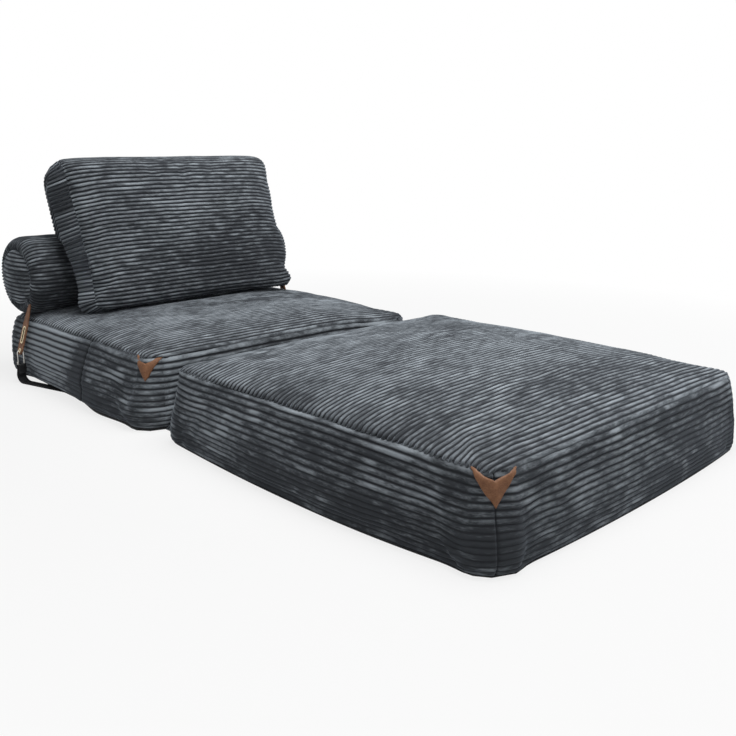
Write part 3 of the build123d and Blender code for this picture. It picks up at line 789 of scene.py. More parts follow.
class Block:
    """Where a foam block is: its own y runs away from the fold line."""

    def __init__(self, name, way, sizes):
        low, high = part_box(f"{name}_top_panel")
        band_low, band_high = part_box(f"{name}_side_band")
        fold = next(j for j in frame["joints"] if j["name"] == "foot_fold")["pos_m"][1]
        ends = sorted(way * (y - fold) for y in (low.y, high.y))
        band_ends = sorted(way * (y - fold) for y in (band_low.y, band_high.y))
        self.name = name
        self.way = way
        self.fold = fold
        self.near = ends[0] + sizes.end_bow
        self.far_bow = sizes.end_bow if way > 0 else sizes.front_bow
        self.far = ends[1] - self.far_bow
        self.half = high.x - sizes.seam_bow
        self.seam = low.z
        self.crown = high.z - low.z
        self.reach = self.near - band_ends[0]
        self.bow = band_high.x - self.half - SOLID_SWELL
        self.sizes = sizes

    def world(self, x, y, z):
        """Points of the block's own frame in the shared frame."""
        return np.stack([self.way * x, self.fold + self.way * y, z], axis=-1)

    def half_width(self, y):
        """Half the width of the top seam at a place along the block."""
        corner = self.sizes.corner
        end = np.clip(np.minimum(y - self.near, self.far - y), 0, corner)
        middle = (self.near + self.far) / 2
        bow = self.sizes.seam_bow * (1 - ((y - middle) / (self.far - self.near) * 2) ** 2)
        return self.half + bow - corner + np.sqrt(corner**2 - (corner - end) ** 2)

    def cover(self):
        """The cover before it is stuffed."""
        rows = round((self.far - self.near) / self.sizes.grid) + 1
        columns = round(2 * self.half / self.sizes.grid) + 1
        share, y = np.meshgrid(np.linspace(-1, 1, columns), np.linspace(self.near, self.far, rows))
        wide = self.half_width(y)
        run = CROWN_RUN * min(2 * self.half, self.far - self.near) / 2
        side = np.clip(wide * (1 - np.abs(share)) / run, 0, 1)
        end = np.clip(np.minimum(y - self.near, self.far - y) / run, 0, 1)
        rise = (1 - (1 - side) ** 2) ** CROWN_CURVE * (1 - (1 - end) ** 2) ** CROWN_CURVE
        round_ends = self.far_bow * smooth_step(y, self.near, self.far) ** 3
        round_ends -= self.sizes.end_bow * smooth_step(y, self.far, self.near) ** 3
        bowed = y + round_ends * (1 - share**2)
        high = self.seam + self.crown * rise
        if self.way > 0:
            high -= self.sizes.dip * smooth_step(share, 0.2, 1.0)
        front = self.world(wide * share, bowed, high)
        band = self.band(front[rim(rows, columns)])
        back = self.floor_grid(band[-1], rows, columns)
        return Cover(front, band, back)

    def band(self, loop):
        """Rows of the side band from the top seam down to the floor."""
        sizes = self.sizes
        levels = round(self.seam / BAND_ROW)
        x = self.way * loop[:, 0]
        y = self.way * (loop[:, 1] - self.fold)
        ahead = np.roll(loop, -1, axis=0) - np.roll(loop, 1, axis=0)
        out_x = unit(ahead[:, :2])[:, 1] * self.way
        out_y = -unit(ahead[:, :2])[:, 0] * self.way
        share = (y - self.near) / (self.far - self.near)
        bulge = np.clip(1 - (2 * share - 1) ** 2, 0, 1)
        fold_side = np.clip(-out_y, 0, 1) ** 2
        side = np.abs(out_x)
        if self.way > 0:
            # The seat is fullest near the fold, drawn in by the webbing and full at its near rear corner
            bulge = bulge * (1.15 - 0.5 * share)
            corner = 1.4 * soften(2 * side * np.clip(-out_y, 0, 1), 8) * side
            tuck = smooth_step(share, 0.25, 0.5) * smooth_step(share, 1.03, 0.84) * side
            ahead_bow = np.zeros(len(x))
            rear = soften(2 * side * np.clip(out_y, 0, 1), 4) * smooth_step(x, 0.2, -0.2)
        else:
            # The foot block is fullest near its free end and sticks out at its near front corner
            bulge = bulge * (0.55 + 0.5 * share)
            corner = soften(2 * side**2 * np.clip(out_y, 0, 1) ** 0.8, 5)
            corner = corner * smooth_step(x, -0.2, 0.2)
            rear = np.zeros(len(x))
            tuck = np.zeros(len(x))
            ahead_bow = np.clip(out_y, 0, 1) * np.clip(1 - (x / self.half) ** 2, 0, 1) ** 0.5
        profiles = (
            sizes.swell * np.array(BAND_SWELL),
            self.bow * np.array(BAND_BOW),
            self.reach * np.array(FOLD_REACH),
            sizes.kick * np.array(CORNER_KICK),
            sizes.tuck * np.array(WEBBING_TUCK),
            sizes.front_swell * np.array(FRONT_SWELL),
            sizes.rear_bulge * np.array(REAR_BULGE),
        )
        rows = []
        for level in range(levels + 1):
            part = 1 - level / levels
            pushes = [np.interp(part, BAND_HEIGHTS, profile) for profile in profiles]
            out, bow, fold, point, drawn, front, back = pushes
            push = out + (fold - out) * fold_side + point * corner - drawn * tuck
            push = push + front * ahead_bow + back * rear
            lift = sizes.lift + WEBBING_LIFT * tuck * (1 - part) ** 6
            height = np.maximum(self.seam * part, lift)
            wide = x + out_x * (push + bow * bulge * side)
            sunk = (loop[:, 2] - self.seam) * part
            rows.append(self.world(wide, y + out_y * push, height + sunk))
        return np.stack(rows)

    def hold_down(self, cover):
        """Keep the stuffed top close over its foam."""
        foam = self.cover().front[..., 2]
        over = cover.front[..., 2] - foam
        cover.front[..., 2] = foam + TOP_FILL * over
        cover.band[0] = cover.front[cover.edge]

    def floor_grid(self, loop, rows, columns):
        """The underside, spanned between the points of its edge."""
        grid = np.zeros((rows, columns, 3))
        grid[rim(rows, columns)] = loop
        share = np.linspace(0, 1, columns)[None, 1:-1, None]
        inner = grid[1:-1, :1] * (1 - share) + grid[1:-1, -1:] * share
        grid[1:-1, 1:-1] = inner
        return grid


# Room between the seat and what presses on it, and the slope of the hollow round the pillow's foot
LOAD_ROOM = 0.001
HOLLOW_SLOPE = 0.35
# A height that nothing on the seat reaches
OVERHEAD = 9


def press_under(cover, bolster, pillow_bed, pillow_span):
    """Hollow the seat's top under the bolster and under the pillow's foot."""
    centre, radius = bolster
    y = cover.front[..., 1]
    z = cover.front[..., 2]
    inside = np.clip(radius**2 - (y - centre[1]) ** 2, 0, None)
    roll = np.where(np.abs(y - centre[1]) < radius, centre[2] - np.sqrt(inside), OVERHEAD)
    x_low, x_high, y_low, y_high = pillow_span
    x = cover.front[..., 0]
    off = np.maximum.reduce([x_low - x, x - x_high, y_low - y, y - y_high, np.zeros(x.shape)])
    bed = pillow_bed + HOLLOW_SLOPE * off
    cover.front[..., 2] = np.minimum(z, np.minimum(roll, bed))


# Room behind a snap hook for the ribs, and how far the dent reaches beside, below and above the hook
HOOK_ROOM = 0.006
DENT_BESIDE = 0.04
DENT_BELOW = 0.035
DENT_ABOVE = 0.06


def clear_hooks(cover):
    """Dent the seat's sides behind the snap hooks, so that no rib covers a hook."""
    for name, side in (("left", -1), ("right", 1)):
        low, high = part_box(f"snap_hook_{name}")
        inner = (high.x if side < 0 else low.x) - side * HOOK_ROOM
        y = cover.band[..., 1]
        z = cover.band[..., 2]
        near = np.exp(-(((y - (low.y + high.y) / 2) / DENT_BESIDE) ** 2))
        near *= smooth_step(z, low.z - DENT_BELOW, low.z) * smooth_step(z, high.z + DENT_ABOVE, high.z)
        over = np.clip(side * (cover.band[..., 0] - inner), 0, None)
        cover.band[..., 0] -= side * near * over


# How patchy the nap is on top of a block, and how far it is brushed down there
TOP_PATCHY = 0.6
TOP_NAP = 0.05
# Shares of a side band's depth between which its painted shade towards the floor starts and is strongest
BAND_LOW_SHADE = (0.2, 0.9)
# How far its nap is brushed down, darkened further towards the floor as painted shade, and what is left of
# its ribs, each at the seam and by how much it changes
BAND_NAP_AND_SHADE = (0.02, 0.24)
BAND_RIBS = (0.85, 0.22)
# Depth and reach of a seam across the ribs, as a share of a sewn edge's, and how much it darkens them
CROSS_SEAM = 0.5
CROSS_SHADE = 0.5


def lay_top(cord, cover, seed):
    """The corduroy on top of a block."""
    top = Panel(cord, cover.front, True, seed=seed, pitch=cord.top_pitch, patchy=TOP_PATCHY)
    top.draw_in(face_distance(top), cord)
    top.nap -= TOP_NAP
    return top


def lay_band(cord, cover, zip_bed, seams, seed):
    """The corduroy round a block, sewn together at seams, given as places round the cover's grid."""
    loop = run_lengths(cover.band[cover.band.shape[0] // 2], True)
    seam_at = [np.interp(seam, np.arange(len(loop)), loop) for seam in seams]
    band = Panel(
        cord,
        cover.band,
        True,
        closed=True,
        flipped=True,
        seed=seed,
        extra=seam_at,
        pitch=cord.band_pitch,
        squeeze=cord.squeeze,
    )
    # Painted shade: the nap is darkened towards the floor; the ribs flatten there too
    low_shade = smooth_step(band.down / band.span[0], *BAND_LOW_SHADE)
    band.nap -= BAND_NAP_AND_SHADE[0] + BAND_NAP_AND_SHADE[1] * low_shade
    band.fade_ribs(BAND_RIBS[0] - BAND_RIBS[1] * low_shade)
    band.draw_in(band.down, cord)
    zip_bed.clear(band)
    for seam in seam_at:
        apart = np.abs(band.along - seam)
        band.draw_in(apart, cord, depth=CROSS_SEAM, reach=CROSS_SEAM)
        band.rib = band.rib * (1 - CROSS_SHADE * np.exp(-((apart / SEAM_LINE) ** 2)))
    return band


def dress_block(context, name, body, way, seams, blotches, seed):
    """Stuff one foam block and lay its corduroy; returns its cover."""
    cord = context.scene.lounger_cord
    block = Block(name, way, context.scene.lounger_block)
    cover = block.cover()
    stuff(
        cover,
        held=lambda points: points[:, 2] < HELD_HEIGHT,
        pressure=3.0,
        reach=0.016,
        frames=16,
    )
    block.hold_down(cover)
    if name == "seat":
        press_under(cover, *seat_load())
        clear_hooks(cover)
    zip_bed = ZipBed(f"{name}_zip", BLOCK_ZIP_WAY)
    zip_bed.flatten(cover)
    rows, columns = cover.front.shape[:2]
    top = lay_top(cord, cover, seed)
    band = lay_band(cord, cover, zip_bed, seams(rows, columns), seed + 40)
    for where, size, strength in blotches:
        for panel in (top, band):
            nap_and_shade_blotch(panel, where, size, strength)
    shell = Shell()
    top_index = shell.add_panel(top)
    band_index = shell.add_panel(band)
    sew(shell, cover, top, top_index, band, band_index, False)
    points = cover.back.reshape(-1, 3)
    index = np.arange(rows * columns).reshape(rows, columns)
    base_index = index + shell.add(points, grid_quads(index, False, True), rib=np.zeros(len(points)))
    r, c = cover.edge
    places = np.arange(len(r)) / len(r)
    shell.zip_loops(band_index[-1], band.columns / cover.band.shape[1], base_index[r, c], places)
    made = shell.build(f"{name}_cushion", [corduroy(context)])
    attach(made, body)
    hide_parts(f"{name}_foam_core", f"{name}_top_panel", f"{name}_side_band")
    make_base(context, name, body, cover)
    return cover


def make_base(context, name, body, cover):
    """The woven cloth under a block, a thin closed slab that lies on the floor."""
    lower = cover.back.copy()
    lower[..., 2] = FLOOR_GAP
    shell = Shell()
    shell.add_slab(cover.back, lower, cover.back[..., :2])
    made = shell.build(f"{name}_base", [base_cloth(context)])
    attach(made, body)
    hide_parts(f"{name}_base_panel")


def seat_load():
    """What presses on the seat: the roll as a centre and radius, and the foot of the pillow."""
    low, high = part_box("bolster_wrap")
    centre = (low + high) / 2
    radius = (high.z - low.z) / 2 + LOAD_ROOM
    foot_low, foot_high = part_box("pillow_gusset")
    bed = foot_low.z - LOAD_ROOM
    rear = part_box("pillow_rear_panel")[1].y
    span = (foot_low.x, foot_high.x, foot_low.y, rear)
    return (centre, radius), bed, span


# Pillow and roll


# Share of the pillow's height over which a face rises from its seam
PILLOW_RUN = 0.42
# Height of the round top of the pillow's back, and heights between which the back fills out above the roll
PILLOW_ROUND = 0.09
PILLOW_FILL = (0.10, 0.30)
# Share of the pillow's height at which the boxing starts to lie level
PILLOW_LEVEL = 0.80
# Distance between points on the pillow's faces, and rows of points across its boxing
PILLOW_GRID = 0.016
BOXING_ROWS = 8
# Room between the stuffed pillow and the roll
ROLL_ROOM = 0.002


def quarter_round(share):
    """Height of a quarter circle, from 0 at its foot to 1 at its top."""
    return np.sqrt(1 - (1 - share) ** 2)


class PillowForm:
    """Where the pillow is: it leans on the roll and stands on the seat."""

    def __init__(self, sizes):
        low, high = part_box("bolster_wrap")
        roll = (low + high) / 2
        radius = (high.z - low.z) / 2
        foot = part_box("seat_top_panel")[1].z - sizes.sink
        setback = radius + sizes.rest_gap + sizes.rear_crown + sizes.gusset / 2
        back = (setback + sin(sizes.lean) * (roll.z - foot)) / cos(sizes.lean)
        self.sizes = sizes
        self.roll = np.array(roll)
        self.radius = radius
        self.origin = np.array((0, roll.y - back, foot))
        self.up = np.array((0, sin(sizes.lean), cos(sizes.lean)))
        self.ahead = np.array((0, -cos(sizes.lean), sin(sizes.lean)))
        self.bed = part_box("pillow_gusset")[0].z

    def world(self, x, high, depth):
        """Points of the pillow's own frame in the shared frame."""
        side = np.array((1.0, 0, 0))
        return self.origin + x[..., None] * side + high[..., None] * self.up + depth[..., None] * self.ahead

    def cover(self):
        """The cover before it is stuffed, a little taller than its seams so that it fills them."""
        sizes = self.sizes
        tall = sizes.height + sizes.spare
        rows = round(tall / PILLOW_GRID) + 1
        columns = round(sizes.width / PILLOW_GRID) + 1
        share, high = np.meshgrid(np.linspace(-1, 1, columns), np.linspace(0, tall, rows))
        end = np.minimum(high, tall - high)
        inside = np.clip(end, 0, sizes.corner)
        wide = sizes.width / 2 - sizes.corner + np.sqrt(sizes.corner**2 - (sizes.corner - inside) ** 2)
        wide = wide + sizes.flare * high / tall
        run = PILLOW_RUN * tall
        beside = np.clip(wide * (1 - np.abs(share)) / run, 0, 1)
        above = np.clip(end / run, 0, 1)
        rise = quarter_round(beside) * quarter_round(above)
        half = sizes.gusset / 2
        turn = np.clip((high - tall + sizes.top_roll) / sizes.top_roll, 0, 1) * pi / 2
        rolled = np.where(turn > 0, tall - sizes.top_roll * (1 - np.sin(turn)), high)
        below = np.clip(high / run, 0, 1)
        full = quarter_round(beside) * quarter_round(below)
        ahead_by = half + sizes.front_lift + sizes.front_crown * full * np.cos(turn) ** 0.5
        ahead_by -= sizes.roll_back * (1 - np.cos(turn))
        front = self.world(wide * share, rolled, ahead_by)
        round_top = 1 - np.sqrt(1 - np.clip((high - tall + PILLOW_ROUND) / PILLOW_ROUND, 0, 1) ** 2)
        filled = smooth_step(high, *PILLOW_FILL) - round_top
        behind = half + sizes.back_swell * filled + sizes.rear_crown * rise
        back = self.world(wide * share, high, -behind)
        edge = rim(rows, columns)
        x = (wide * share)[edge]
        h = rolled[edge]
        first = ahead_by[edge]
        last = -behind[edge]
        ahead = np.stack([np.roll(x, -1) - np.roll(x, 1), np.roll(h, -1) - np.roll(h, 1)], axis=1)
        ahead = unit(ahead)
        level_top = smooth_step(h, PILLOW_LEVEL * tall, tall)
        band = []
        for level in np.linspace(0, 1, BOXING_ROWS):
            push = sizes.swell * (1 - (2 * level - 1) ** 2) + sizes.rear_swell * sin(pi * level**0.7)
            push = push * (1 - level_top)
            depth = first + (last - first) * level
            up = h + (high[edge] - h) * level
            band.append(self.world(x + ahead[:, 1] * push, up - ahead[:, 0] * push, depth))
        return Cover(front, np.stack(band), back)

    def settle(self, cover):
        """Stand the cover on the seat and lean it on the roll."""
        for grid in (cover.front, cover.band, cover.back):
            grid[..., 2] = np.maximum(grid[..., 2], self.bed)
            off = grid[..., 1:] - self.roll[1:]
            far = np.linalg.norm(off, axis=-1, keepdims=True)
            free = self.radius + ROLL_ROOM
            grid[..., 1:] = np.where(far < free, self.roll[1:] + off / far * free, grid[..., 1:])


def dress_pillow(context):
    """Stuff the pillow and lay its corduroy."""
    scene = context.scene
    cord = scene.lounger_cord
    form = PillowForm(scene.lounger_pillow)
    cover = form.cover()
    stuff(
        cover,
        held=lambda points: points[:, 2] < form.bed + HELD_HEIGHT,
        pressure=2.5,
        reach=0.014,
        frames=16,
    )
    form.settle(cover)
    zip_normal = unit(np.array(frame_normal("pillow_zip")))
    zip_bed = ZipBed("pillow_zip", zip_normal)
    zip_bed.flatten(cover)
    front = Panel(cord, cover.front, True, seed=300, patchy=0.45)
    rear = Panel(cord, cover.back, True, flipped=True, seed=340)
    gusset = Panel(cord, cover.band, False, closed=True, flipped=True, seed=320)
    front.draw_in(face_distance(front), cord)
    rear.draw_in(face_distance(rear), cord)
    gusset.draw_in(np.minimum(gusset.down, gusset.span[0] - gusset.down), cord, depth=0.8)
    zip_bed.clear(rear)
    nap_and_shade_blotch(front, (0.0, 0.72, 0.62), (0.6, 0.4, 0.16), -0.12)
    # Painted shade, partly nap: the front's lower right is darkened
    nap_and_shade_blotch(front, (0.22, 0.6, 0.33), (0.35, 0.4, 0.11), -0.32)
    nap_and_shade_blotch(gusset, (-0.39, 0.75, 0.5), (0.2, 0.2, 0.16), -0.2)
    made = sew_cover(cover, front, gusset, rear).build("pillow_cushion", [corduroy(context)])
    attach(made, PILLOW)
    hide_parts("pillow_filling", "pillow_front_panel", "pillow_gusset", "pillow_rear_panel")


# Points up and across an end cap of the roll, and half the angle that its first and last rows take up
CAP_ROWS = 13
CAP_COLUMNS = 15
CAP_START = radians(28)
# Bulge of a cap, and how far its edge stands out past the solid
CAP_BULGE = 0.018
CAP_SPARE = 0.002
# Share of the rounding by which a cap is smaller than the roll
CAP_DRAW = 0.8
# Rings of points round each rounded end, and between them
END_RINGS = 6
ROLL_RINGS = 52
# Share of the roll's radius below its middle at which the stuffing starts to be free
ROLL_HELD = 0.8


def disc_rows():
    """A disc of radius 1 as rows of points, the first and last of them on its edge: across and up."""
    share = np.linspace(-1, 1, CAP_COLUMNS)
    up = np.repeat(cos(CAP_START) * np.linspace(-1, 1, CAP_ROWS)[:, None], CAP_COLUMNS, axis=1)
    across = np.sqrt(1 - up**2) * share
    for row, side in ((0, -1), (CAP_ROWS - 1, 1)):
        across[row] = np.sin(share * CAP_START)
        up[row] = side * np.cos(share * CAP_START)
    return across, up


def bolster_cover(rounding):
    """The roll's cover before it is stuffed; its first face is the left end."""
    low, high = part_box("bolster_wrap")
    middle = (low + high) / 2
    radius = (high.z - low.z) / 2
    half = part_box("bolster_end_cap_right")[1].x + CAP_SPARE
    seam = radius - CAP_DRAW * rounding
    across, up = disc_rows()
    bulge = CAP_BULGE * (1 - across**2 - up**2)
    y = middle.y - seam * across
    z = middle.z + seam * up
    left = np.stack([-half - bulge, y, z], axis=-1)
    right = np.stack([half + bulge, y, z], axis=-1)
    edge = rim(CAP_ROWS, CAP_COLUMNS)
    turn = np.linspace(0, 1, END_RINGS)[:-1] * pi / 2
    ends = half - rounding * (1 - np.cos(turn))
    sizes = seam + CAP_DRAW * rounding * np.sin(turn)
    straight = np.linspace(-1, 1, ROLL_RINGS) * (half - rounding)
    places = np.concatenate([-ends, straight, ends[::-1]])
    radii = np.concatenate([sizes, np.full(len(straight), radius), sizes[::-1]])
    rings = []
    for x, size in zip(places, radii):
        ring = [np.full(len(edge[0]), x), middle.y - size * across[edge], middle.z + size * up[edge]]
        rings.append(np.stack(ring, axis=-1))
    return Cover(left, np.stack(rings), right), np.array(middle), radius, seam


def dress_bolster(context):
    """Stuff the roll and lay its corduroy."""
    cord = context.scene.lounger_cord
    cover, middle, radius, seam = bolster_cover(context.scene.lounger_block.roll_edge)
    stuff(
        cover,
        held=lambda points: points[:, 2] < middle[2] - ROLL_HELD * radius,
        pressure=2.5,
        reach=0.008,
        frames=14,
    )
    zip_bed = ZipBed("bolster_zip", ROLL_ZIP_WAY)
    zip_bed.flatten(cover)
    left = Panel(cord, cover.front, True, seed=400)
    right = Panel(cord, cover.back, True, flipped=True, seed=420)
    wrap = Panel(cord, cover.band, False, closed=True, flipped=True, seed=440)
    left.draw_in(disc_distance(left, middle, seam), cord)
    right.draw_in(disc_distance(right, middle, seam), cord)
    wrap.draw_in(np.minimum(wrap.down, wrap.span[0] - wrap.down), cord)
    zip_bed.clear(wrap)
    # Painted shadow from the pillow, partly nap: the whole wrap is darkened; painted light: the left end is
    # lightened
    nap_and_shade_blotch(wrap, (0.0, 0.86, 0.33), (2.0, 0.3, 0.3), -0.2)
    nap_and_shade_blotch(left, (-0.5, 0.86, 0.33), (0.2, 0.3, 0.3), 0.25)
    made = sew_cover(cover, left, wrap, right).build("bolster_cushion", [corduroy(context)])
    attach(made, SEAT)
    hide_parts("bolster_foam_core", "bolster_wrap", "bolster_end_cap_left", "bolster_end_cap_right")


def disc_distance(panel, middle, radius):
    """Distance of each point of an end panel from the edge of the roll."""
    off = panel.base[..., 1:] - middle[1:]
    return np.clip(radius - np.linalg.norm(off, axis=2), 0, None)


def frame_normal(node):
    """The way that a tilted zip on the back of a cushion faces, from the shape of its box."""
    low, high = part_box(node)
    return (0, high.z - low.z, -(high.y - low.y))


# Fold strip, leather, webbing and zips


# How much longer the strip is than its solid at each end, and how far its cloth lies below the solid's top
STRIP_SPARE = 0.014
STRIP_SINK = 0.0012
# Rows of points across the strip, and the distance between points along it
STRIP_ROWS = 9
STRIP_GRID = 0.02


def make_fold_strip(context):
    """The ribbed strip at floor level that joins the blocks."""
    cord = context.scene.lounger_cord
    seat_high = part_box("fold_strip_seat_half")[1]
    rear = seat_high.y
    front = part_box("fold_strip_foot_half")[0].y
    half = seat_high.x + STRIP_SPARE
    columns = round(2 * half / STRIP_GRID) + 1
    x, y = np.meshgrid(np.linspace(-half, half, columns), np.linspace(front, rear, STRIP_ROWS))
    top = np.stack([x, y, np.full(x.shape, seat_high.z - STRIP_SINK)], axis=-1)
    panel = Panel(cord, top, True, seed=500)
    panel.draw_in(np.minimum(panel.along, panel.span[1] - panel.along), cord)
    points = panel.points()
    points[..., 1] = np.clip(points[..., 1], front, rear)
    points[..., 0] = np.clip(points[..., 0], -half, half)
    under = points.copy()
    under[..., 2] = FLOOR_GAP
    shell = Shell()
    shell.add_slab(points, under, panel.flat, rib=panel.rib, nap=panel.nap)
    made = shell.build("fold_strip", [corduroy(context)])
    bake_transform(made)
    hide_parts("fold_strip_seat_half", "fold_strip_foot_half")


# Points down and along a leather patch
PATCH_ROWS = 21
PATCH_COLUMNS = 41
# How pointed the patch is, and how far its tip reaches past its drop
PATCH_POINT = 1.5
PATCH_TIP = 0.003
# Distance over which its cut edge is rounded
PATCH_EDGE = 0.0022
# Height of its waves, and their length along and down
PATCH_WAVE = 0.0007
PATCH_WAVES = (0.012, 0.014)
# Height of the ridge where it folds over the corner, and the share of its reach that the ridge takes up
PATCH_RIDGE = 0.0035
PATCH_RIDGE_SHARE = 0.4
# Share of a rib's height at which the leather lies, and of its thickness that its cut edge has
PATCH_REST = 0.3
PATCH_RIM = 0.4
# How far it follows the seam down, and over what distance, as shares of the seam's
PATCH_SEAM = (0.85, 1.3)
# How far the leather's underside lies in the cloth
PATCH_SINK = 0.0012


def make_patch(context, name, body, node, cover, corners, scale):
    """Leather triangles sewn over the corners of a block's band, below its top seam."""
    sizes = context.scene.lounger_patch
    cord = context.scene.lounger_cord
    band = cover.band
    loop = run_lengths(band[band.shape[0] // 6], True)
    around = band.shape[1]
    down = run_lengths(band[:, around // 2])
    reach = sizes.reach * scale
    u, v = np.meshgrid(np.linspace(-1, 1, PATCH_COLUMNS), np.linspace(0, 1, PATCH_ROWS))
    peak = 1 - np.abs(u)
    upper = sizes.dip * scale * peak**PATCH_POINT
    lower = sizes.drop * scale * peak**PATCH_POINT + PATCH_TIP
    depth = upper + (lower - upper) * v
    flat = np.stack([u * reach, depth], axis=-1)
    edge = np.minimum(np.minimum(v, 1 - v) * (lower - upper), peak * reach)
    round_over = np.sqrt(np.clip(edge / PATCH_EDGE, 0, 1))
    wave = PATCH_WAVE * value_noise(flat[..., 0] / PATCH_WAVES[0], depth / PATCH_WAVES[1], 7)
    fold = PATCH_RIDGE * np.clip(1 - np.abs(u) / PATCH_RIDGE_SHARE, 0, 1) * 4 * v * (1 - v)
    rise = cord.height * PATCH_REST + sizes.thickness * round_over + wave + fold
    rise -= cord.seam_depth * PATCH_SEAM[0] * np.exp(-((depth / (cord.seam_reach * PATCH_SEAM[1])) ** 2))
    under = rise - sizes.thickness * (PATCH_RIM + (1 - PATCH_RIM) * round_over) - PATCH_SINK
    shell = Shell()
    for corner in corners:
        centre = np.interp(corner, np.arange(around + 1), loop)
        along = (centre + u * reach) % loop[-1]
        r = np.interp(depth, down, np.arange(len(down)))
        c = np.interp(along, loop, np.arange(around + 1))
        at = read_points(band, r.ravel(), c.ravel(), True).reshape(*u.shape, 3)
        out = unit(np.cross(np.gradient(at, axis=0), np.gradient(at, axis=1)))
        shell.add_slab(at + out * rise[..., None], at + out * under[..., None], flat, flipped=True)
    made = shell.build(name, [leather(context, "Tan leather", False)])
    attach(made, body)
    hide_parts(node)


def sweep_band(shell, path, sideways, outline):
    """Sweep a closed outline (across, proud) along a path of points with given side directions."""
    path = np.asarray(path, float)
    ahead = unit(np.gradient(path, axis=0))
    proud = unit(np.cross(sideways, ahead))
    outline = np.asarray(outline, float)
    points = (
        path[:, None]
        + outline[None, :, :1] * np.asarray(sideways)[:, None]
        + outline[None, :, 1:] * proud[:, None]
    )
    run = run_lengths(path)
    index = np.arange(points.shape[0] * points.shape[1]).reshape(points.shape[:2])
    flat = np.stack(np.broadcast_arrays(run[:, None], outline[None, :, 0]), axis=-1)
    start = shell.add(points, grid_quads(index, True), flat=flat)
    ends = (index[0] + start, index[-1][::-1] + start)
    for ring in ends:
        shell.faces.append([int(i) for i in ring])
        shell.kinds.append(0)


# Where the left webbing passes its hook, and the way it runs under the seat
HOOK_EYE = np.array((-0.53564, 0.797, 0.0))
WEBBING_WAY = np.array((0.2588, -0.9659, 0.0))
UPWARD = np.array((0, 0, 1.0))
# Length that lies under the seat, radius of the bend at the floor, and how far the webbing slants out to it
WEBBING_RUN = 0.215
WEBBING_BEND = 0.024
WEBBING_SLANT = 0.008
# How far the end of the webbing lies below the top of its eye
WEBBING_END = 0.0085
# Height of a woven ridge, and the points across one
RIDGE_HEIGHT = 0.00035
RIDGE_STEPS = 6
# Ridges on the webbing, and on the narrower and thinner turn that holds the hook
RIDGES = 9
TURN_RIDGES = 8
TURN_WIDTH = 0.86
TURN_THICKNESS = 0.8
# Radius of that turn, and the height of its middle over the foot of the hook
TURN_RADIUS = 0.0045
TURN_MIDDLE = 0.0012


def webbing_outline(width, thick, ridges):
    """Cross section of ribbed webbing: fine lengthwise ridges on both faces."""
    across = np.linspace(-width / 2, width / 2, ridges * RIDGE_STEPS + 1)
    ridge = RIDGE_HEIGHT * np.abs(np.sin(np.linspace(0, pi * ridges, len(across))))
    face = thick / 2 - RIDGE_HEIGHT + ridge
    upper = np.column_stack([across, face])
    lower = np.column_stack([across[::-1], -face[::-1]])
    return np.vstack([upper, lower])


def lay_webbing(shell, path, side, outline):
    """Sweep webbing along a path, given as places ahead and up from the eye of one side's hook."""
    points = HOOK_EYE + path[:, :1] * WEBBING_WAY + path[:, 1:] * UPWARD
    sideways = np.repeat(np.cross(UPWARD, WEBBING_WAY)[None], len(points), axis=0)
    if side > 0:
        points[:, 0] *= -1
        sideways[:, 0] *= -1
        sideways *= -1
    sweep_band(shell, points, sideways, outline)


def make_webbing(context, side):
    """The webbing loop of one strap: up from under the seat to the eye of the hook."""
    sizes = context.scene.lounger_webbing
    name = "left" if side < 0 else "right"
    thick = sizes.thickness
    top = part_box(f"webbing_loop_{name}")[1].z - WEBBING_END
    hook_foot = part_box(f"snap_hook_{name}")[0].z
    start = np.array((0.0, top))
    turn = np.array((-WEBBING_SLANT, thick / 2))
    finish = np.array((WEBBING_RUN, thick / 2))
    path = fillet_path(start, turn, finish, WEBBING_BEND)
    shell = Shell()
    lay_webbing(shell, path, side, webbing_outline(sizes.width, thick, RIDGES))
    narrow = webbing_outline(sizes.width * TURN_WIDTH, thick * TURN_THICKNESS, TURN_RIDGES)
    lay_webbing(shell, hook_turn(top, hook_foot), side, narrow)
    made = shell.build(f"webbing_{name}", [webbing_cloth(context)])
    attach(made, SEAT)
    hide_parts(f"webbing_loop_{name}")


def fillet_path(start, turn, finish, radius, counts=(8, 22, 24)):
    """Points along a straight run, a round bend and another straight run, as many as counts says."""
    first = unit(start - turn)
    second = unit(finish - turn)
    half = np.arccos(np.clip(first @ second, -1, 1)) / 2
    back = radius / np.tan(half)
    centre = turn + unit(first + second) * radius / np.sin(half)
    a = turn + first * back - centre
    b = turn + second * back - centre
    sweep = np.arctan2(a[0] * b[1] - a[1] * b[0], a @ b)
    angles = np.linspace(0, sweep, counts[1])
    arc = [centre + (a[0] * cos(t) - a[1] * sin(t), a[0] * sin(t) + a[1] * cos(t)) for t in angles]
    head = [start + (arc[0] - start) * t for t in np.linspace(0, 1, counts[0])[:-1]]
    tail = [arc[-1] + (finish - arc[-1]) * t for t in np.linspace(0, 1, counts[2])[1:]]
    return np.array(head + arc + tail)


def hook_turn(top, hook_foot):
    """Path, ahead and up, of the turn of webbing that holds the hook's lower bar."""
    middle = hook_foot + TURN_MIDDLE
    points = [(0.0042, top - 0.020), (0.0044, top - 0.012)]
    for t in np.linspace(-0.15 * pi, 1.15 * pi, 15):
        points.append((TURN_RADIUS * cos(t), middle + TURN_RADIUS * sin(t)))
    points += [(-0.0044, top - 0.012), (-0.0042, top - 0.016)]
    return np.array(points)


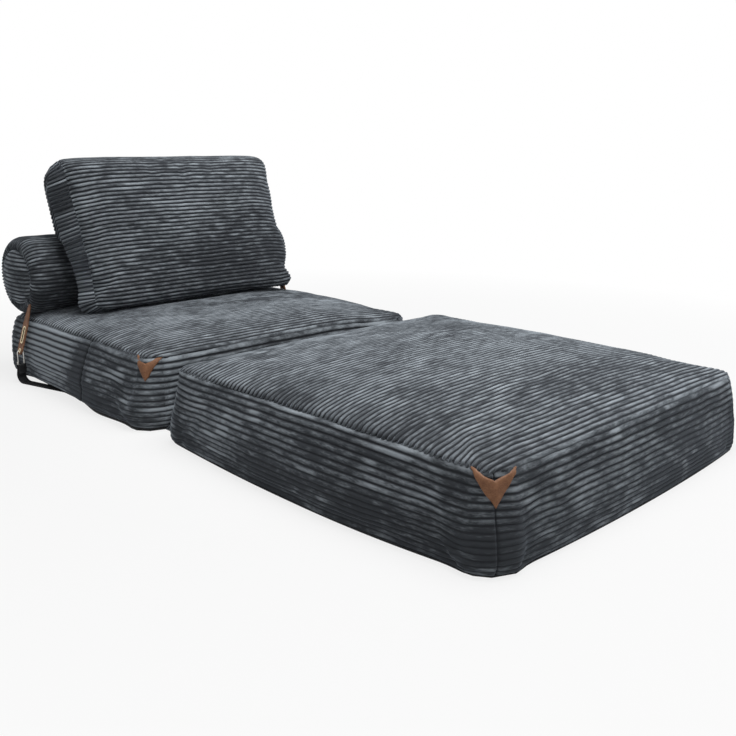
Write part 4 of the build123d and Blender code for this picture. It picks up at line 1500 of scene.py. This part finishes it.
# A zip's tape: its width, half the gap between two tapes, and its cross section
TAPE_WIDTH = 0.0115
TAPE_GAP = 0.0006
TAPE_OUTLINE = (
    (-TAPE_WIDTH / 2, -0.0006),
    (TAPE_WIDTH / 2, -0.0006),
    (TAPE_WIDTH / 2, 0.0004),
    (0, 0.0007),
    (-TAPE_WIDTH / 2, 0.0004),
)
TAPE_POINTS = 60
# A zip's teeth: the distance between two, and half their length, width and height
TOOTH_PITCH = 0.0036
TOOTH_SIZE = (0.0011, 0.0021, 0.0010)
# How far they stand to the side and above the zip's middle, and how much narrower they are at the top
TOOTH_SHIFT = 0.0007
TOOTH_LIFT = 0.0004
TOOTH_TAPER = 0.25
# Corners of a box from -1 to 1, and its sides
BOX = np.array([(x, y, z) for x in (-1, 1) for y in (-1, 1) for z in (-1, 1)], float)
BOX_SIDES = np.array([(0, 1, 3, 2), (4, 6, 7, 5), (0, 4, 5, 1), (2, 3, 7, 6), (0, 2, 6, 4), (1, 5, 7, 3)])


def make_zip(context, node, normal, body):
    """A zip: two woven tapes with a row of teeth along the middle."""
    low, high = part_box(node)
    centre = np.array((low + high) / 2)
    normal = unit(np.array(normal, float))
    ahead = np.array((1.0, 0, 0))
    up = np.cross(ahead, normal)
    half = (high.x - low.x) / 2
    shell = Shell()
    for side in (-1, 1):
        middle = centre + up * side * (TAPE_WIDTH / 2 + TAPE_GAP)
        tape = middle + np.linspace(-half, half, TAPE_POINTS)[:, None] * ahead
        sweep_band(shell, tape, np.repeat(up[None], len(tape), axis=0), TAPE_OUTLINE[::-1])
    corner = BOX * TOOTH_SIZE
    taper = 1 - TOOTH_TAPER * (BOX[:, 2] > 0)
    for step in range(int(2 * half / TOOTH_PITCH) - 2):
        shift = (step % 2) * 2 - 1
        at = centre + (-half + (step + 1.5) * TOOTH_PITCH) * ahead + up * shift * TOOTH_SHIFT
        points = at + corner[:, :1] * ahead
        points = points + corner[:, 1:2] * up * taper[:, None] + (corner[:, 2:] + TOOTH_LIFT) * normal
        shell.add(points, BOX_SIDES, kind=1)
    made = shell.build(f"{node}_tape", [zip_cloth(context), zip_metal(context)])
    made.data.polygons.foreach_set("use_smooth", np.zeros(len(made.data.polygons), bool))
    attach(made, body)
    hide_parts(node)


# Materials


def place(tree, kind, sockets=None, **settings):
    """Add a node, set its values and join its sockets."""
    node = tree.nodes.new(kind)
    for key, value in settings.items():
        setattr(node, key, value)
    for key, value in (sockets or {}).items():
        socket = node.inputs[key]
        if isinstance(value, bpy.types.NodeSocket):
            tree.links.new(value, socket)
        else:
            socket.default_value = value
    return node


def mix_colours(tree, share, first, second):
    """A colour between two others."""
    node = place(tree, "ShaderNodeMix", data_type="RGBA")
    for index, value in ((0, share), (6, first), (7, second)):
        if isinstance(value, bpy.types.NodeSocket):
            tree.links.new(value, node.inputs[index])
        else:
            node.inputs[index].default_value = value
    return node.outputs[2]


def sums(tree, operation, first, second=0.0, third=0.0):
    """The result of one sum on numbers."""
    node = place(tree, "ShaderNodeMath", {0: first, 1: second, 2: third}, operation=operation)
    return node.outputs[0]


def rgba(value):
    """A colour with its alpha."""
    return (*value, 1.0)


def noise(tree, vector, scale, detail):
    """Noise from 0 to 1."""
    node = place(tree, "ShaderNodeTexNoise", {"Vector": vector, "Scale": scale, "Detail": detail})
    return node.outputs["Fac"]


def stretched_noise(tree, vector, stretch, detail):
    """Noise from 0 to 1 in lumps that are longer one way than another."""
    mapped = place(tree, "ShaderNodeMapping", {0: vector, 3: stretch})
    return noise(tree, mapped.outputs[0], 1.0, detail)


def ramp(tree, value, low, high, kind="LINEAR"):
    """A ramp from 0 where a value is low to 1 where it is high."""
    node = place(tree, "ShaderNodeMapRange", {0: value, 1: low, 2: high}, interpolation_type=kind)
    return node.outputs[0]


SOCKETS = {"colour": "NodeSocketColor", "value": "NodeSocketFloat", "vector": "NodeSocketVector"}
LOOK = {"Colour": "colour", "Height": "value", "Roughness": "value"}


def look_group(name, inputs, look):
    """A shader group, built once, that puts out the colour, height and roughness that look works out."""
    found = bpy.data.node_groups.get(name)
    if found:
        return found
    group = bpy.data.node_groups.new(name, "ShaderNodeTree")
    for side, sockets in (("INPUT", inputs), ("OUTPUT", LOOK)):
        for label, kind in sockets.items():
            group.interface.new_socket(label, in_out=side, socket_type=SOCKETS[kind])
    given = group.nodes.new("NodeGroupInput")
    made = group.nodes.new("NodeGroupOutput")
    for label, value in zip(LOOK, look(group, given.outputs)):
        group.links.new(value, made.inputs[label])
    return group


def pile_look(group, given):
    """Corduroy pile: brushed nap on the ribs, painted shade in the valleys and on the flanks, a painted
    highlight on the crests, and fine fibres.
    """
    fibre = stretched_noise(group, given["Cloth"], (90, 420, 1), 3.0)
    tuft = stretched_noise(group, given["Cloth"], (32, 105, 1), 2.0)
    nap = sums(group, "ADD", given["Nap"], sums(group, "MULTIPLY_ADD", tuft, 0.9, -0.45))
    nap = sums(group, "MULTIPLY_ADD", fibre, 0.5, sums(group, "SUBTRACT", nap, 0.25))
    raised = ramp(group, nap, 0.1, 0.95, "SMOOTHSTEP")
    pile = mix_colours(group, raised, given["Brushed"], given["Crest"])
    # Painted shade: the valley colour covers the valleys and the flanks, leaving a narrow painted highlight
    # on the crests
    clear_of_valley_shade = ramp(group, given["Rib"], 0.48, 1.0, "SMOOTHSTEP")
    whole = mix_colours(group, clear_of_valley_shade, given["Valley shade"], pile)
    height = sums(group, "ADD", fibre, tuft)
    roughness = sums(group, "MULTIPLY_ADD", nap, -0.15, 0.95)
    return whole, height, roughness


def hide_look(group, given):
    """Leather: fine grain, colour clouds and darker creases."""
    grain = place(group, "ShaderNodeTexVoronoi", {"Vector": given["Cloth"], "Scale": 900.0})
    clouds = noise(group, given["Cloth"], 60.0, 4.0)
    pores = noise(group, given["Cloth"], 420.0, 3.0)
    shade = sums(group, "MULTIPLY_ADD", pores, 0.5, sums(group, "MULTIPLY", clouds, 0.9))
    whole = mix_colours(group, ramp(group, shade, 0.45, 0.95), given["Crease"], given["Hide"])
    height = sums(group, "ADD", grain.outputs["Distance"], pores)
    roughness = sums(group, "MULTIPLY_ADD", clouds, -0.3, 0.75)
    return whole, height, roughness


def weave_look(group, given):
    """Plain weave: threads that cross over and under each other."""
    split = place(group, "ShaderNodeSeparateXYZ", {0: given["Cloth"]})
    turns = sums(group, "MULTIPLY", given["Count"], pi)
    along = sums(group, "SINE", sums(group, "MULTIPLY", split.outputs["X"], turns))
    across = sums(group, "SINE", sums(group, "MULTIPLY", split.outputs["Y"], turns))
    weave = sums(group, "MULTIPLY_ADD", sums(group, "MULTIPLY", along, across), 0.5, 0.5)
    dust = noise(group, given["Cloth"], 45.0, 4.0)
    shade = sums(group, "MULTIPLY_ADD", dust, 0.6, sums(group, "MULTIPLY_ADD", weave, 0.6, -0.2))
    whole = mix_colours(group, ramp(group, shade, 0.0, 0.75), given["Gap"], given["Thread"])
    roughness = sums(group, "MULTIPLY_ADD", dust, 0.2, 0.7)
    return whole, weave, roughness


def metal_look(group, given):
    """Handled metal: smudges that dull the shine and fine scratches."""
    smudge = noise(group, given["Place"], 160.0, 4.0)
    scratch = stretched_noise(group, given["Place"], (2500, 300, 300), 2.0)
    darker = mix_colours(group, 0.35, given["Metal"], (0, 0, 0, 1))
    whole = mix_colours(group, ramp(group, smudge, 0.3, 0.7), darker, given["Metal"])
    roughness = sums(group, "MULTIPLY_ADD", smudge, 0.25, given["Shine"])
    return whole, scratch, roughness


PILE_INPUTS = {
    "Cloth": "vector",
    "Rib": "value",
    "Nap": "value",
    "Crest": "colour",
    "Brushed": "colour",
    "Valley shade": "colour",
}
HIDE_INPUTS = {"Cloth": "vector", "Hide": "colour", "Crease": "colour"}
WEAVE_INPUTS = {"Cloth": "vector", "Thread": "colour", "Gap": "colour", "Count": "value"}
METAL_INPUTS = {"Place": "vector", "Metal": "colour", "Shine": "value"}


def new_material(name):
    """A material with one Principled shader."""
    material = bpy.data.materials.new(name)
    material.use_nodes = True
    tree = material.node_tree
    return material, tree, tree.nodes["Principled BSDF"]


def finish_material(name, group, values, bump, shine, attributes=None, by_place=False):
    """A material, made once, whose colour, roughness and bump come from one group.

    values are the group's own inputs, bump is a strength and a distance, shine holds the shader's plain
    values, and attributes names the mesh values that feed the group. It is laid out by the cloth places of
    the mesh, or by place on a piece that has none.
    """
    found = bpy.data.materials.get(name)
    if found:
        return found
    material, tree, shader = new_material(name)
    if by_place:
        source = place(tree, "ShaderNodeTexCoord").outputs["Object"]
    else:
        source = place(tree, "ShaderNodeUVMap", uv_map="Cloth").outputs[0]
    look = place(tree, "ShaderNodeGroup", node_tree=group)
    tree.links.new(source, look.inputs[0])
    for label, attribute in (attributes or {}).items():
        read = place(tree, "ShaderNodeAttribute", attribute_name=attribute)
        tree.links.new(read.outputs["Fac"], look.inputs[label])
    for label, value in values.items():
        look.inputs[label].default_value = value
    raised = place(tree, "ShaderNodeBump", {"Strength": bump[0], "Distance": bump[1]})
    tree.links.new(look.outputs["Height"], raised.inputs["Height"])
    tree.links.new(look.outputs["Colour"], shader.inputs["Base Color"])
    tree.links.new(look.outputs["Roughness"], shader.inputs["Roughness"])
    tree.links.new(raised.outputs[0], shader.inputs["Normal"])
    for label, value in shine.items():
        shader.inputs[label].default_value = value
    return material


def corduroy(context):
    """Slate corduroy, velvety on the ribs."""
    colours = context.scene.lounger_colours
    values = {
        "Crest": rgba(colours.crest),
        "Brushed": rgba(colours.nap),
        "Valley shade": rgba(colours.valley_shade),
    }
    velvet = {
        "Specular IOR Level": 0.15,
        "Sheen Weight": 0.2,
        "Sheen Roughness": 0.45,
        "Sheen Tint": (0.75, 0.85, 1.0, 1.0),
    }
    group = look_group("Corduroy Pile", PILE_INPUTS, pile_look)
    attributes = {"Rib": "rib", "Nap": "nap"}
    return finish_material("Slate corduroy", group, values, (0.35, 0.0012), velvet, attributes)


def leather(context, name, by_place):
    """Tan leather; the straps come without cloth places, so theirs is laid out by place."""
    colours = context.scene.lounger_colours
    values = {"Hide": rgba(colours.leather), "Crease": rgba(colours.leather_dark)}
    group = look_group("Hide Grain", HIDE_INPUTS, hide_look)
    shine = {"Specular IOR Level": 0.35}
    return finish_material(name, group, values, (0.4, 0.0006), shine, by_place=by_place)


def woven(name, thread, count):
    """A woven cloth of one colour, with so many threads to the metre."""
    gap = [c * 0.35 for c in thread]
    values = {"Thread": rgba(thread), "Gap": rgba(gap), "Count": count}
    group = look_group("Plain Weave", WEAVE_INPUTS, weave_look)
    return finish_material(name, group, values, (0.5, 0.0005), {"Specular IOR Level": 0.25})


def base_cloth(context):
    """Black woven cloth under the blocks."""
    return woven("Base cloth", context.scene.lounger_colours.base_cloth, 1200.0)


def webbing_cloth(context):
    """Black webbing."""
    return woven("Webbing cloth", context.scene.lounger_colours.webbing, 900.0)


def zip_cloth(context):
    """Tape of the zips."""
    return woven("Zip cloth", context.scene.lounger_colours.webbing, 1600.0)


def metal(name, colour_at, dullness):
    """A handled metal of one colour."""
    values = {"Metal": rgba(colour_at), "Shine": dullness}
    group = look_group("Handled Metal", METAL_INPUTS, metal_look)
    return finish_material(name, group, values, (0.08, 0.0002), {"Metallic": 1.0}, by_place=True)


def zip_metal(context):
    """Dark metal of the zips."""
    return metal("Zip metal", context.scene.lounger_colours.gunmetal, 0.25)


# Operators

# Where the nap is brushed up or down on the two blocks: a place, its size and the strength
SEAT_BRUSHED = (
    ((-0.54, 0.45, 0.1), (0.1, 0.06, 0.12), -0.5),
    ((-0.1, 0.26, 0.22), (0.45, 0.16, 0.1), 0.2),
    ((-0.54, 0.66, 0.14), (0.1, 0.14, 0.14), 0.8),
)
FOOT_BRUSHED = (((0.0, -0.45, 0.23), (0.35, 0.3, 0.3), 0.12),)
# How many points of the grid the patches lie short of their corners
SEAT_FRONT_PATCH = 1.3
SEAT_REAR_PATCH = 0.6
FOOT_PATCH = 0.85
# Share of the seat's left side that lies behind the seam across it
SIDE_SEAM = 0.62


def seat_seams(rows, columns):
    """Places round the seat's grid where its side band is sewn together."""
    left = 2 * (columns - 1) + rows - 1
    return [columns - 1, columns - 1 + rows - 1, left, left + (rows - 1) * SIDE_SEAM]


def foot_patch_place(rows, columns):
    """The place round the foot block's grid where its patch and its front left seam are."""
    return columns + rows - 2 - FOOT_PATCH


def foot_seams(rows, columns):
    """Places round the foot block's grid where its side band is sewn together."""
    return [0, columns - 1, foot_patch_place(rows, columns), 2 * (columns - 1) + rows - 1]


class LOUNGER_OT_seat_block(bpy.types.Operator):
    """Make the seat cushion, its base, patches and zip"""

    bl_idname = "lounger.seat_block"
    bl_label = "Seat block"

    def execute(self, context):
        cover = dress_block(context, "seat", SEAT, 1, seat_seams, SEAT_BRUSHED, 100)
        rows, columns = cover.front.shape[:2]
        front_left = cover.band.shape[1] - SEAT_FRONT_PATCH
        rear_left = 2 * (columns - 1) + rows - 1 - SEAT_REAR_PATCH
        corners = [front_left, rear_left]
        make_patch(context, "seat_patches", SEAT, "seat_corner_patches", cover, corners, 0.8)
        make_zip(context, "seat_zip", BLOCK_ZIP_WAY, SEAT)
        return {"FINISHED"}


class LOUNGER_OT_foot_block(bpy.types.Operator):
    """Make the foot cushion, its base, patch and zip"""

    bl_idname = "lounger.foot_block"
    bl_label = "Foot block"

    def execute(self, context):
        cover = dress_block(context, "foot", FOOT, -1, foot_seams, FOOT_BRUSHED, 200)
        corners = [foot_patch_place(*cover.front.shape[:2])]
        make_patch(context, "foot_patch", FOOT, "foot_corner_patch", cover, corners, 1.0)
        make_zip(context, "foot_zip", BLOCK_ZIP_WAY, FOOT)
        return {"FINISHED"}


class LOUNGER_OT_bolster(bpy.types.Operator):
    """Make the roll and its zip"""

    bl_idname = "lounger.bolster"
    bl_label = "Roll"

    def execute(self, context):
        dress_bolster(context)
        make_zip(context, "bolster_zip", ROLL_ZIP_WAY, SEAT)
        return {"FINISHED"}


class LOUNGER_OT_pillow(bpy.types.Operator):
    """Make the pillow and its zip"""

    bl_idname = "lounger.pillow"
    bl_label = "Pillow"

    def execute(self, context):
        dress_pillow(context)
        make_zip(context, "pillow_zip", frame_normal("pillow_zip"), PILLOW)
        return {"FINISHED"}


class LOUNGER_OT_fold_strip(bpy.types.Operator):
    """Make the strip that joins the blocks"""

    bl_idname = "lounger.fold_strip"
    bl_label = "Fold strip"

    def execute(self, context):
        make_fold_strip(context)
        return {"FINISHED"}


class LOUNGER_OT_straps(bpy.types.Operator):
    """Finish the straps, their rims and hooks, and make the webbing"""

    bl_idname = "lounger.straps"
    bl_label = "Straps"

    def execute(self, context):
        colours = context.scene.lounger_colours
        gold = metal("Pale gold", colours.gold, 0.14)
        steel = metal("Hook steel", colours.steel, 0.16)
        for side, name in ((-1, "left"), (1, "right")):
            make_webbing(context, side)
            dress_node(f"strap_{name}", leather(context, "Strap leather", True), rounding=0.0009)
            dress_node(f"strap_rims_{name}", gold, rounding=0.0004)
            dress_node(f"snap_hook_{name}", steel)
            dress_node(f"snap_hook_gate_{name}", steel)
        for piece in ("seat", "foot", "bolster", "pillow"):
            dress_node(f"{piece}_zip_slider", zip_metal(context), rounding=0.0003)
        return {"FINISHED"}


def dress_node(node, material, rounding=0):
    """Give a hard piece its finish and round its edges."""
    piece = bpy.data.objects[node]
    piece.data.materials.clear()
    piece.data.materials.append(material)
    if rounding:
        bevel = piece.modifiers.new("rounding", "BEVEL")
        bevel.width = rounding
        bevel.segments = 2
        bevel.limit_method = "ANGLE"
        bevel.angle_limit = radians(40)


class LOUNGER_OT_studio(bpy.types.Operator):
    """Make the floor, the light and the camera"""

    bl_idname = "lounger.studio"
    bl_label = "Studio"

    def execute(self, context):
        studio = context.scene.lounger_studio
        make_camera(context.scene, studio)
        make_light(context.scene, studio)
        make_floors(context)
        context.scene.view_settings.view_transform = "Standard"
        return {"FINISHED"}


def make_camera(scene, studio):
    """The photograph's viewpoint."""
    camera = bpy.data.objects.new("camera", bpy.data.cameras.new("camera"))
    scene.collection.objects.link(camera)
    ahead = Vector(
        (sin(studio.yaw) * cos(studio.pitch), cos(studio.yaw) * cos(studio.pitch), -sin(studio.pitch))
    )
    right = ahead.cross(Vector((0, 0, 1))).normalized()
    above = right.cross(ahead)
    tilted = right * cos(studio.roll) + above * sin(studio.roll)
    upward = above * cos(studio.roll) - right * sin(studio.roll)
    turn = Matrix((tilted, upward, -ahead)).transposed()
    camera.matrix_world = Matrix.Translation(studio.camera) @ turn.to_4x4()
    camera.data.sensor_width = 36.0
    camera.data.lens = studio.lens
    scene.camera = camera


# The place that both lamps point at
LAMP_AIM = Vector((0, 0, 0.1))


def background_rays(tree):
    """1 for the rays that see a plain white background, 0 for those that light the object."""
    rays = place(tree, "ShaderNodeLightPath")
    shown = sums(tree, "MAXIMUM", rays.outputs["Is Camera Ray"], rays.outputs["Is Glossy Ray"])
    return sums(tree, "MAXIMUM", shown, rays.outputs["Is Transmission Ray"])


def make_light(scene, studio):
    """An even sky, a large lamp overhead and a weak one beside the camera."""
    world = bpy.data.worlds.new("studio")
    scene.world = world
    world.use_nodes = True
    tree = world.node_tree
    sky = tree.nodes["Background"]
    seen = place(tree, "ShaderNodeBackground", {"Color": (1, 1, 1, 1), "Strength": 1.0})
    sky.inputs["Color"].default_value = (1, 1, 1, 1)
    sky.inputs["Strength"].default_value = studio.sky
    shown = background_rays(tree)
    mixed = place(tree, "ShaderNodeMixShader", {0: shown, 1: sky.outputs[0], 2: seen.outputs[0]})
    tree.links.new(mixed.outputs[0], tree.nodes["World Output"].inputs["Surface"])
    # Each lamp's place, size and power
    lamps = (
        ("key", (0.35, -0.6, 2.9), 2.2, studio.key),
        ("fill", (-2.6, -2.2, 1.7), 1.6, studio.fill),
    )
    for name, place_at, size, power in lamps:
        lamp = bpy.data.lights.new(name, "AREA")
        lamp.energy = power
        lamp.size = size
        made = bpy.data.objects.new(name, lamp)
        scene.collection.objects.link(made)
        made.location = place_at
        made.rotation_euler = (LAMP_AIM - Vector(place_at)).to_track_quat("-Z", "Y").to_euler()


# Distance from the middle at which the floor starts to turn white and is white, and the share it starts with
FLOOR_FADE = (0.9, 2.6)
FLOOR_WHITE = 0.78
# Half the width of the floor, and the room between the folded foot block and the floor below it
FLOOR_HALF = 30
FOLDED_DROP = 0.004
# Heights between which each floor shows, as it turns with the foot block
OPEN_SPAN = (-0.0003, 0.0003)
FOLDED_SPAN = (-9.0, -0.1)


def floor_material(context, name, low, high):
    """Pale floor that shows only while it lies between two heights."""
    material, tree, shader = new_material(name)
    shader.inputs["Base Color"].default_value = rgba(context.scene.lounger_colours.floor)
    shader.inputs["Roughness"].default_value = 1.0
    shader.inputs["Specular IOR Level"].default_value = 0.0
    where = place(tree, "ShaderNodeNewGeometry")
    split = place(tree, "ShaderNodeSeparateXYZ", {0: where.outputs["Position"]})
    apart = place(tree, "ShaderNodeVectorMath", {0: where.outputs["Position"]}, operation="LENGTH")
    fade = {0: apart.outputs["Value"], 1: FLOOR_FADE[0], 2: FLOOR_FADE[1], 3: FLOOR_WHITE, 4: 1.0}
    away = place(tree, "ShaderNodeMapRange", fade)
    shown = sums(tree, "MULTIPLY", background_rays(tree), away.outputs[0])
    white = place(tree, "ShaderNodeEmission", {"Color": (1, 1, 1, 1), "Strength": 1.0})
    lit = place(tree, "ShaderNodeMixShader", {0: shown, 1: shader.outputs[0], 2: white.outputs[0]})
    above = sums(tree, "GREATER_THAN", split.outputs["Z"], low)
    below = sums(tree, "LESS_THAN", split.outputs["Z"], high)
    there = sums(tree, "MULTIPLY", above, below)
    clear = place(tree, "ShaderNodeBsdfTransparent")
    whole = place(tree, "ShaderNodeMixShader", {0: there, 1: clear.outputs[0], 2: lit.outputs[0]})
    tree.links.new(whole.outputs[0], tree.nodes["Material Output"].inputs["Surface"])
    return material


def make_floors(context):
    """The floor under the open lounger, and the one under it when the foot block is folded below."""
    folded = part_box("foot_top_panel")[1].z + FOLDED_DROP
    for name, height, span in (("floor_open", 0.0, OPEN_SPAN), ("floor_folded", folded, FOLDED_SPAN)):
        mesh = bpy.data.meshes.new(name)
        corners = [(x * FLOOR_HALF, y * FLOOR_HALF, height) for x, y in ((-1, -1), (1, -1), (1, 1), (-1, 1))]
        mesh.from_pydata(corners, [], [(0, 1, 2, 3)])
        mesh.materials.append(floor_material(context, name, *span))
        made = bpy.data.objects.new(name, mesh)
        context.scene.collection.objects.link(made)
        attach(made, FOOT)


class LOUNGER_PT_panel(bpy.types.Panel):
    """Lists the pieces of the lounger."""

    bl_idname = "LOUNGER_PT_panel"
    bl_label = "Lounger"
    bl_space_type = "VIEW_3D"
    bl_region_type = "UI"
    bl_category = "Lounger"

    def draw(self, context):
        for operator in OPERATORS:
            self.layout.operator(operator.bl_idname)


GROUPS = {
    "lounger_cord": CorduroySizes,
    "lounger_block": BlockSizes,
    "lounger_pillow": PillowSizes,
    "lounger_patch": PatchSizes,
    "lounger_webbing": WebbingSizes,
    "lounger_colours": LoungerColours,
    "lounger_studio": StudioSettings,
}
OPERATORS = (
    LOUNGER_OT_studio,
    LOUNGER_OT_seat_block,
    LOUNGER_OT_foot_block,
    LOUNGER_OT_bolster,
    LOUNGER_OT_pillow,
    LOUNGER_OT_fold_strip,
    LOUNGER_OT_straps,
)


def register():
    """Register the settings, the operators and the panel."""
    for name, group in GROUPS.items():
        bpy.utils.register_class(group)
        setattr(bpy.types.Scene, name, PointerProperty(type=group))
    for operator in OPERATORS:
        bpy.utils.register_class(operator)
    bpy.utils.register_class(LOUNGER_PT_panel)


def unregister():
    """Take them off again."""
    bpy.utils.unregister_class(LOUNGER_PT_panel)
    for operator in reversed(OPERATORS):
        bpy.utils.unregister_class(operator)
    for name, group in GROUPS.items():
        delattr(bpy.types.Scene, name)
        bpy.utils.unregister_class(group)


def main():
    """Dress the whole lounger."""
    register()
    bpy.ops.lounger.studio()
    bpy.ops.lounger.seat_block()
    bpy.ops.lounger.foot_block()
    bpy.ops.lounger.bolster()
    bpy.ops.lounger.pillow()
    bpy.ops.lounger.fold_strip()
    bpy.ops.lounger.straps()


if __name__ == "__main__":
    main()
